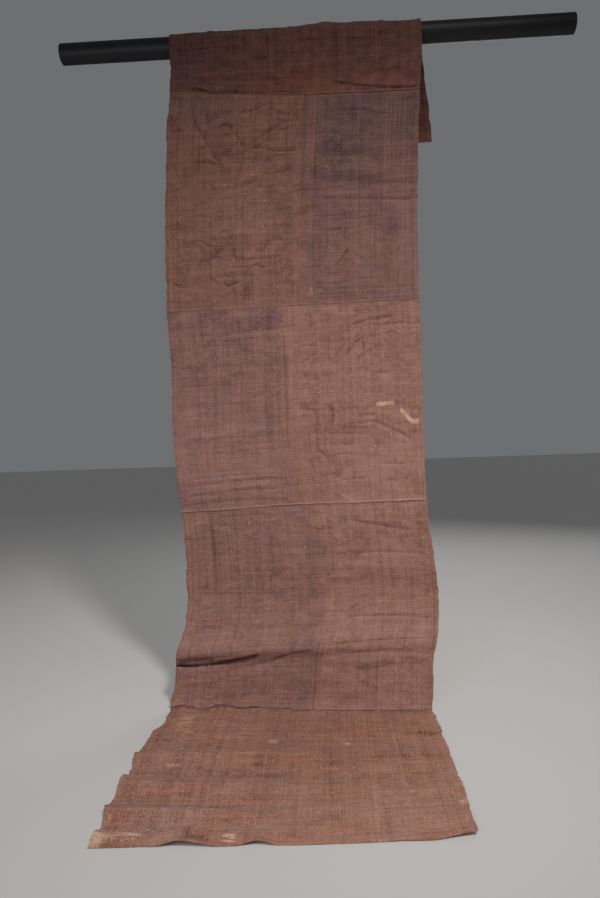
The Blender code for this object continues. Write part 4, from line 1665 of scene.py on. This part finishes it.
@dataclass
class LooseFibres:
    """Broken ends of raffia that stand a little off the cloth: some placed, the rest strewn where it is worn.

    Attributes:
        name: The piece's name.
        placed: The fibres that are listed one by one.
        zones: Where others are strewn: left, right, first run, last run and how many.
        seed: The seed of the strewn ones.
        sides: The sides of a fibre.
        steps: The steps along it.
    """

    name: str
    placed: tuple[Fibre, ...]
    zones: tuple[tuple[float, float, float, float, int], ...]
    seed: int
    sides: int = 5
    steps: int = 6

    def fibres(self) -> list[Fibre]:
        """The placed fibres and the strewn ones."""
        rng = np.random.default_rng(self.seed)
        made = list(self.placed)
        for left, right, first, last, count in self.zones:
            for _ in range(count):
                place = (rng.uniform(left, right), rng.uniform(first, last))
                length, turn = rng.uniform(2.5, 7.5), rng.uniform(-80, 80)
                made.append(Fibre(*place, length, turn, rng.uniform(-1.2, 1.2), rng.uniform(0.5, 0.9)))
        return made

    def build(self, course: ClothCourse, panel: WovenPanel, thread: bpy.types.Material) -> bpy.types.Object:
        """Builds the fibres of a panel as one mesh."""
        rings, faces = [], []
        angles = np.arange(self.sides) / self.sides * 2 * math.pi
        for fibre in self.fibres():
            share = np.linspace(-1, 1, self.steps + 1)
            turn = math.radians(fibre.turn)
            along = share * fibre.length / 2
            aside = fibre.bend * fibre.length / 4 * (1 - share**2)
            across = fibre.across + along * math.cos(turn) - aside * math.sin(turn)
            run = fibre.run + along * math.sin(turn) + aside * math.cos(turn)
            normal = course.normals(course.surface, across, run)
            rise = panel.sheet + 0.35 * fibre.thick + 0.5 * (1 - share**2)
            middle = course.surface(across, run) + normal * rise[:, None] * MM
            way = np.gradient(middle, axis=0)
            way /= np.linalg.norm(way, axis=1, keepdims=True)
            beside = np.cross(way, normal)
            radius = fibre.thick / 2 * np.sqrt(np.clip(1 - (0.96 * share) ** 2, 0, 1)) * MM
            ring = np.cos(angles)[None, :, None] * normal[:, None]
            ring = ring + np.sin(angles)[None, :, None] * beside[:, None]
            start = len(rings) * (self.steps + 1) * self.sides
            index = start + np.arange((self.steps + 1) * self.sides).reshape(self.steps + 1, self.sides)
            closed = np.concatenate([index, index[:, :1]], axis=1)
            faces += WovenPanel.quads(closed).tolist()
            faces += [index[0].tolist()[::-1], index[-1].tolist()]
            rings.append(middle[:, None] + ring * radius[:, None, None])
        piece = new_piece(self.name, np.concatenate(rings), faces, thread)
        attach(piece, "root")
        log.info("%s: %d faces", self.name, len(faces))
        return piece


@dataclass
class Rod:
    """The plain round pole that the cloth hangs over, turned by hand and a little uneven."""

    name: str = "dark_pole"
    sides: int = 96
    pitch: float = 12.0
    bevel: float = 1.5
    waver: float = 0.25
    finish: PaintedWood = PaintedWood("flat_dark_painted_wood", "#17181B", "#2B2725")

    def build(self, course: ClothCourse) -> bpy.types.Object:
        """Builds the pole in the place of its solid."""
        low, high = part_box("rod")
        length = (high.x - low.x) / MM
        radius = course.rod_radius
        rng = np.random.default_rng(5)
        stops = spread_out(0, length, self.pitch, (0, 0.2 * self.bevel, 0.6 * self.bevel, self.bevel, 4))
        angles = np.arange(self.sides) / self.sides * 2 * math.pi
        phases = rng.uniform(0, 2 * math.pi, 4)
        rings = []
        for stop in stops:
            edge = min(stop, length - stop, self.bevel) / self.bevel
            rounding = self.bevel * (1 - math.sqrt(1 - (1 - edge) ** 2))
            waves = sum(math.sin(stop / (60 + 45 * k) + phase) for k, phase in enumerate(phases)) / 4
            lobes = np.cos(2 * angles + stop / 260 + phases[0])
            size = radius - rounding - self.waver * (0.5 - 0.25 * waves - 0.25 * lobes)
            ring = [np.full(self.sides, stop), size * np.cos(angles), size * np.sin(angles)]
            rings.append(np.stack(ring, -1))
        points = np.concatenate(rings) * MM + (low.x, course.rod_y, course.rod_up * MM)
        index = np.arange(len(points)).reshape(len(stops), self.sides)
        index = np.concatenate([index, index[:, :1]], axis=1)
        faces = WovenPanel.quads(index).tolist()
        faces += [index[0, :-1].tolist(), index[-1, :-1][::-1].tolist()]
        pole = new_piece(self.name, points, faces, self.finish.material())
        pole.data.set_sharp_from_angle(angle=math.radians(50))
        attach(pole, "root")
        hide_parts("rod")
        log.info("%s: %d faces", self.name, len(faces))
        return pole


@dataclass
class Studio:
    """The pale floor, the soft lights and the camera at the photograph's place.

    Attributes:
        camera_place: The camera's place, in metres.
        camera_turns: Its turn to the left, its look down and its roll, in degrees.
        focal_pixels: Its focal length in pixels of the image.
    """

    camera_place: tuple[float, float, float] = (0.008, -1.68612, 0.8125)
    camera_turns: tuple[float, float, float] = (2.55, 1.8, -2.0)
    focal_pixels: float = 674.0
    sensor: float = 36.0
    floor_half: float = 14.0
    floor: StudioPaper = StudioPaper("pale_studio_paper", "#DAD8D4")

    def build(self) -> None:
        """Builds the camera, the floor, the world and the lights."""
        self.add_camera()
        self.add_floor()
        self.add_world("#E4E6EA", 0.20)
        self.add_spot("high_front_right", (0.9, -1.9, 3.1), (0.0, 0.20, 0.45), 54, 400, "#FFF4EA")
        self.add_light("soft_front_left", (-0.9, -1.9, 1.2), (0.0, -0.20, 0.15), 1.2, 14, "#F1F1FF")
        self.add_light("soft_behind", (1.4, 2.6, 2.4), (0.0, 0.30, 1.2), 1.8, 30, "#FFFFFF")

    def add_camera(self) -> None:
        """Adds the camera."""
        turn, down, roll = (math.radians(angle) for angle in self.camera_turns)
        data = bpy.data.cameras.new("camera")
        data.sensor_width = self.sensor
        data.lens = self.focal_pixels / IMAGE_HEIGHT * self.sensor
        camera = bpy.data.objects.new("camera", data)
        bpy.context.scene.collection.objects.link(camera)
        look = Matrix.Rotation(turn, 4, "Z") @ Matrix.Rotation(math.pi / 2 - down, 4, "X")
        camera.matrix_world = Matrix.Translation(self.camera_place) @ look @ Matrix.Rotation(roll, 4, "Z")
        bpy.context.scene.camera = camera

    def add_floor(self) -> None:
        """Adds the floor, just under the cloth."""
        half = self.floor_half
        corners = ((-half, -half), (half, -half), (half, half), (-half, half))
        points = np.array([(x, y, -0.0003) for x, y in corners])
        floor = new_piece("studio_floor", points, [[0, 1, 2, 3]], self.floor.material())

    @staticmethod
    def add_world(tone: str, strength: float) -> None:
        """Sets an even pale surround."""
        world = bpy.data.worlds.new("studio")
        world.use_nodes = True
        background = world.node_tree.nodes["Background"]
        background.inputs["Color"].default_value = srgb(tone)
        background.inputs["Strength"].default_value = strength
        bpy.context.scene.world = world

    @staticmethod
    def add_spot(
        name: str,
        place: tuple[float, float, float],
        target: tuple[float, float, float],
        cone: float,
        watts: float,
        tone: str,
    ) -> None:
        """Adds a spotlight whose soft cone leaves the top of the cloth dim."""
        data = bpy.data.lights.new(name, "SPOT")
        data.spot_size = math.radians(cone)
        data.spot_blend = 1.0
        data.shadow_soft_size = 0.22
        data.energy = watts
        data.color = srgb(tone)[:3]
        light = bpy.data.objects.new(name, data)
        light.location = place
        light.rotation_euler = (Vector(target) - Vector(place)).to_track_quat("-Z", "Y").to_euler()
        bpy.context.scene.collection.objects.link(light)

    @staticmethod
    def add_light(
        name: str,
        place: tuple[float, float, float],
        target: tuple[float, float, float],
        size: float,
        watts: float,
        tone: str,
    ) -> None:
        """Adds a square soft light that faces a target."""
        data = bpy.data.lights.new(name, "AREA")
        data.size = size
        data.energy = watts
        data.color = srgb(tone)[:3]
        light = bpy.data.objects.new(name, data)
        light.location = place
        light.rotation_euler = (Vector(target) - Vector(place)).to_track_quat("-Z", "Y").to_euler()
        bpy.context.scene.collection.objects.link(light)


TOP = WovenPanel(
    "woven_back_and_top",
    "panel_back_top",
    "raffia_dark_brown",
    "back hem",
    "seam 1",
    Hold.DRAPED,
    ("dark_pole",),
    # Its dark brown is partly the dye and partly painted shade, as the top of the cloth gets the least light.
    WovenRaffia(
        "old_raffia_dark_brown", "#6D443A", "#664846", "#A08066", streaks=1.7, flecks=0.6, mottled=0.75
    ),
    TOP_CREASES,
    (
        Patch("mauve left end", 60, 520, 60, 70, 60, mauve=0.5),
        Patch("mauve right half", 620, 480, 150, 110, 80, mauve=0.2),
        # The pale line under the lap is a painted highlight on the lit edge of seam 1.
        Patch("pale line under the lap", 600, 594, 160, 2.4, 4, light=0.22),
        Patch("shaded back", 640, 150, 260, 170, 120, light=-0.20),
        Patch("pale back hem", 600, 3, 260, 3, 4, light=0.28),
        # The darker left end and the lighter band above seam 1 are partly painted shade and light, following
        # how the lamp falls, and partly the dye's own tone.
        Patch("darker left end", 60, 450, 160, 40, 90, light=-0.11),
        Patch("lighter above seam 1", 380, 590, 400, 20, 60, light=0.06),
    ),
)
UPPER = WovenPanel(
    "woven_upper",
    "panel_upper",
    "raffia_mauve_brown",
    "seam 1",
    "seam 2",
    Hold.HUNG,
    ("woven_back_and_top",),
    WovenRaffia(
        "old_raffia_mauve_brown", "#805C52", "#735657", "#B98F70", streaks=1.1, flecks=0.35, seed=0.8
    ),
    UPPER_CREASES,
    (
        Patch("mauve right half", 605, 310, 165, 330, 60, mauve=0.60),
        Patch("dark upright band", 452, 400, 14, 210, 16, mauve=0.12, light=-0.04),
        Patch("dark band above seam 2", 600, 582, 156, 14, 12, mauve=0.08),
        # The darker middle and upper right and the lighter lower right are partly painted shade and light,
        # following how the lamp falls, and partly the dye's own tone.
        Patch("darker middle", 300, 100, 260, 110, 90, light=-0.05),
        Patch("darker middle right", 540, 290, 230, 120, 90, light=-0.09),
        Patch("tan upright stripe", 398, 310, 7, 320, 7, mauve=-0.6, light=0.07),
        Patch("tan thread", 573, 460, 3, 140, 4, mauve=-0.8, light=0.08),
        Patch("tan spots", 394, 534, 8, 8, 7, worn=0.5),
        Patch("tan spot", 436, 578, 4, 9, 5, worn=0.5),
        Patch("dark upper right", 640, 60, 200, 140, 170, light=-0.24),
        # The pale seam line is a painted highlight on the lit edge of the seam.
        Patch("pale seam at the right", 600, 4, 150, 2.2, 4, light=0.30),
        # This lighter corner is partly painted light, where the lamp falls stronger, and partly the dye's own
        # tone.
        Patch("rubbed lower right", 740, 500, 60, 160, 90, light=0.08),
        # The smudge is painted shade beside the shaded crease.
        Patch("smudge", 180, 440, 46, 34, 40, light=-0.10),
    ),
    head=SeamEdge(rise=1.4, groove=0.30, pale=0.06),
    foot=SeamEdge(rise=1.6, groove=0.12, pale=0.16),
)
MIDDLE = WovenPanel(
    "woven_middle",
    "panel_middle",
    "raffia_brown",
    "seam 2",
    "seam 3",
    Hold.HUNG,
    ("woven_upper",),
    WovenRaffia("old_raffia_brown", "#936B60", "#806061", "#C8A184", 0.95, 0.6, mottled=0.55, seed=1.7),
    MIDDLE_CREASES,
    (
        Patch("mauve left half", 160, 300, 200, 330, 50, mauve=0.45),
        Patch("dark band under seam 2", 178, 34, 178, 25, 14, mauve=0.16, light=-0.06),
        # The darker upper part and the lighter lower part and right half are partly painted light and shade,
        # following how the lamp falls, and partly the dye's own tone.
        Patch("darker upper left", 160, 110, 200, 130, 90, light=-0.12),
        Patch("lighter lower left", 180, 470, 180, 100, 120, light=0.11),
        Patch("lighter lower right", 640, 500, 150, 120, 120, light=0.16),
        Patch("darker upper right", 580, 110, 180, 90, 90, light=-0.05),
        Patch("dark upright stripe", 80, 250, 4, 180, 6, mauve=0.25, light=-0.05),
        Patch("second dark upright stripe", 127, 260, 4, 160, 6, mauve=0.30, light=-0.05),
        Patch("third dark upright stripe", 291, 250, 6, 180, 8, mauve=0.16, light=-0.04),
        Patch("fourth dark upright stripe", 345, 110, 6, 100, 8, mauve=0.25, light=-0.06),
        Patch("brown upright strip", 372, 220, 12, 200, 12, light=0.07, mauve=-0.4),
        Patch("tan upright stripe", 398, 300, 6, 310, 5, mauve=-0.6, light=0.05),
        Patch("light brown right half", 600, 380, 180, 260, 90, light=0.08),
        Patch("darned bar", 641, 301, 26, 7, 5, worn=0.9),
        Patch("darned spot", 730, 356, 9, 10, 5, worn=0.9),
    ),
    head=SeamEdge(rise=0.8, groove=0.16, pale=0.04),
    foot=SeamEdge(rise=2.2, width=3.0, groove=0.10, pale=0.34),
)
LOWER = WovenPanel(
    "woven_lower",
    "panel_lower",
    "raffia_brown",
    "seam 3",
    "seam 4",
    Hold.DRAPED,
    ("woven_middle",),
    WovenRaffia("old_raffia_brown_lower", "#956E62", "#856363", "#C39B7D", 1.05, mottled=0.6, seed=2.6),
    LOWER_CREASES,
    (
        Patch("mauve left half", 210, 300, 200, 330, 60, mauve=0.45),
        Patch("dark upright stripe", 58, 130, 9, 115, 8, light=-0.12, mauve=-0.3),
        Patch("second dark upright stripe", 91, 130, 6, 118, 6, light=-0.12),
        Patch("blue upright stripe", 384, 320, 14, 270, 14, light=-0.035, mauve=0.2),
        Patch("second blue upright stripe", 416, 530, 12, 80, 12, light=-0.05, mauve=0.2),
        Patch("third blue upright stripe", 262, 160, 5, 100, 8, light=-0.05, mauve=0.25),
        Patch("tan upright stripe", 437, 320, 7, 190, 6, light=0.06, mauve=-0.7),
        Patch("dark smear", 562, 489, 12, 14, 14, light=-0.16),
        Patch("second dark smear", 617, 471, 9, 12, 12, light=-0.10),
        # The lighter right half and foot are partly painted light, where the lamp falls stronger, and partly
        # the dye's own tone.
        Patch("light right half", 620, 230, 190, 260, 80, light=0.10),
        Patch("lighter right foot", 620, 560, 160, 40, 60, light=0.05),
    ),
    head=SeamEdge(rise=0.6, groove=0.40, pale=0.0),
    foot=SeamEdge(rise=1.0, width=3.4, groove=0.70, groove_width=2.2, pale=0.04),
)
FLOOR = WovenPanel(
    "woven_floor",
    "panel_floor",
    "raffia_orange_brown",
    "seam 4",
    "front hem",
    Hold.LAID,
    ("woven_lower",),
    WovenRaffia(
        "old_raffia_orange_brown", "#916351", "#87665B", "#DCA98A", 1.5, 0.2, 1.15, mottled=0.5, seed=3.5
    ),
    FLOOR_CREASES,
    (
        # The lighter front, front edge and right side are partly painted light, lighter toward the lamp, and
        # partly the dye's own tone.
        Patch("lighter front", 430, 540, 360, 150, 260, light=0.19, mauve=0.3),
        Patch("lighter front edge", 500, 610, 320, 60, 90, light=0.14),
        Patch("lighter right side", 600, 300, 160, 300, 120, light=0.03),
        Patch("worn left corner", 60, 585, 36, 8, 16, worn=0.75),
        Patch("worn left end", 8, 600, 14, 22, 16, worn=0.9, light=0.15),
        # The hollow is painted shadow under the raised hem.
        Patch("hollow", 205, 602, 34, 12, 10, light=-0.22),
        Patch("orange left side", 170, 110, 120, 60, 90, light=0.03, worn=0.06),
        Patch("pale left side", 60, 400, 110, 200, 120, light=0.05, mauve=0.4),
        Patch("worn spot a", 100, 308, 18, 7, 8, worn=0.7),
        Patch("worn spot b", 327, 190, 10, 8, 8, worn=0.7),
        Patch("worn spot e", 92, 139, 16, 9, 10, worn=0.7),
        Patch("worn spot f", 270, 599, 12, 10, 8, worn=0.8),
        Patch("worn spot g", 519, 208, 10, 7, 8, worn=0.5),
        Patch("worn spot h", 747, 507, 9, 12, 8, worn=0.7),
        Patch("worn spot c", 644, 454, 5, 6, 5, worn=0.8),
        Patch("worn spot d", 19, 533, 5, 6, 5, worn=0.9),
        Patch("worn trail", 70, 78, 16, 44, 16, worn=0.4),
    ),
    head=SeamEdge(rise=0.5, groove=0.55, groove_width=2.6, pale=0.0),
)
PANELS = (TOP, UPPER, MIDDLE, LOWER, FLOOR)


FIBRES = (
    (
        UPPER,
        LooseFibres(
            "loose_fibres_upper",
            (
                Fibre(231, 882, 4, 80, 0.6, 1.6),
                Fibre(241, 881, 4, 100, -0.4, 1.6),
                Fibre(292, 977, 9, -50, 0.8, 1.3),
                Fibre(300, 990, 6, 20, 0.5, 1.0),
                Fibre(206, 1074, 7, 80, 0.3, 1.4),
                Fibre(574, 1099, 4, 70, 0.4, 1.3),
            ),
            ((20, 420, 900, 1200, 36), (430, 740, 640, 1200, 22)),
            71,
        ),
    ),
    (
        MIDDLE,
        LooseFibres(
            "loose_fibres_middle",
            (
                Fibre(657, 1607, 5, 30, 0.7, 1.9),
                Fibre(576, 1713, 5, 60, 0.5, 1.6),
                Fibre(560, 1297, 12, -35, 0.9, 1.3),
            ),
            ((400, 740, 1230, 1500, 60), (420, 740, 1500, 1790, 40), (20, 380, 1230, 1790, 40)),
            72,
        ),
    ),
    (
        LOWER,
        LooseFibres(
            "loose_fibres_lower",
            (
                Fibre(205, 1859, 6, 70, 0.5, 1.6),
                Fibre(368, 1940, 7, -30, 0.9, 1.7),
                Fibre(730, 1920, 9, 40, 0.9, 1.9),
                Fibre(108, 2376, 24, -8, 1.5, 1.2),
                Fibre(203, 2368, 12, -25, 0.7, 1.1),
                Fibre(196, 2380, 7, 50, 0.7, 1.0),
            ),
            ((20, 740, 1830, 2250, 60), (20, 740, 2300, 2400, 26)),
            73,
        ),
    ),
    (
        FLOOR,
        LooseFibres(
            "loose_fibres_floor",
            (Fibre(19, 2964, 9, 80, 0.6, 1.8), Fibre(644, 2885, 5, 30, 0.6, 1.9)),
            (
                *((20, 740, 2460, 3030, 120), (8, 110, 2990, 3040, 60)),
                *((90, 260, 2560, 2790, 50), (560, 745, 2820, 3030, 40)),
            ),
            74,
        ),
    ),
)


def line_across(run: float, start: float = 4.0, end: float = CLOTH_WIDTH - 4) -> np.ndarray:
    """A line across the cloth at a run."""
    across = np.arange(start, end, 3.0)
    return np.stack([across, np.full_like(across, run)], 1)


def line_down(across: float, start: float, end: float) -> np.ndarray:
    """A line down the cloth at a distance from its left edge."""
    run = np.arange(start, end, 4.0)
    return np.stack([np.full_like(run, across), run], 1)


def straight(start: tuple[float, float], end: tuple[float, float], pitch: float = 2.0) -> np.ndarray:
    """A straight line on the cloth between two places."""
    count = max(2, int(math.dist(start, end) / pitch) + 1)
    return np.linspace(start, end, count)


def main() -> None:
    """Builds the studio, the pole, the panels and what is sewn to them."""
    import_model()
    Studio().build()
    course = ClothCourse()
    Rod().build(course)
    for panel in PANELS:
        course.add_creases(panel.creases, course.run_of(panel.first))
    pieces = {panel.name: panel.build(course) for panel in PANELS}
    sewing = RaffiaThread("raffia_thread", "#6A4838", "#A27A5E").material()
    tan = RaffiaThread("raffia_thread_tan", "#CE9070", "#F2BC98").material()
    stitches = StitchTree()
    sewn: dict[str, list[bpy.types.Object]] = {panel.name: [] for panel in PANELS}
    for number, panel in enumerate(PANELS[:-1], 1):
        row = Stitching(f"seam_{number}_stitches", 6.5, 7.0, 0.8, 3.4, 24, 10, number)
        way = line_across(course.run_of(panel.last))
        sewn[panel.name].append(stitches.sew(course, row, [way], 1.5, sewing))
    for number, panel in enumerate(PANELS):
        start, end = panel.ends(course)
        row = Stitching(f"{panel.name}_hem_stitches", 9.0, 5.0, 0.7, 0.9, 90, 12, 20 + number)
        ways = [line_down(side, start + 6, end - 6) for side in (8.5, CLOTH_WIDTH - 8.5)]
        if panel.first == "back hem":
            ways.append(line_across(8.5, 12, CLOTH_WIDTH - 12))
        if panel.last == "front hem":
            ways.append(line_across(course.length - 8.5, 12, CLOTH_WIDTH - 12))
        sewn[panel.name].append(stitches.sew(course, row, ways, 3.0, sewing))
    straw = RaffiaThread("raffia_ends_pale", "#B99A7C", "#E2CDB4").material()
    for panel, fibres in FIBRES:
        sewn[panel.name].append(fibres.build(course, panel, straw))
    start = course.run_of("seam 2")
    darns = [
        straight((617, start + 302), (668, start + 299)),
        straight((688, start + 320), (722, start + 358)),
        straight((722, start + 356), (739, start + 356)),
    ]
    row = Stitching("tan_darning", 1.3, 12.0, 1.5, 2.0, 6, 14, 31)
    sewn["woven_middle"].append(stitches.sew(course, row, darns, 1.5, tan))
    for panel in PANELS:
        panel.declare(course, pieces[panel.name], sewn[panel.name])


if __name__ == "__main__":
    logging.basicConfig(level=logging.INFO, format="%(message)s")
    main()
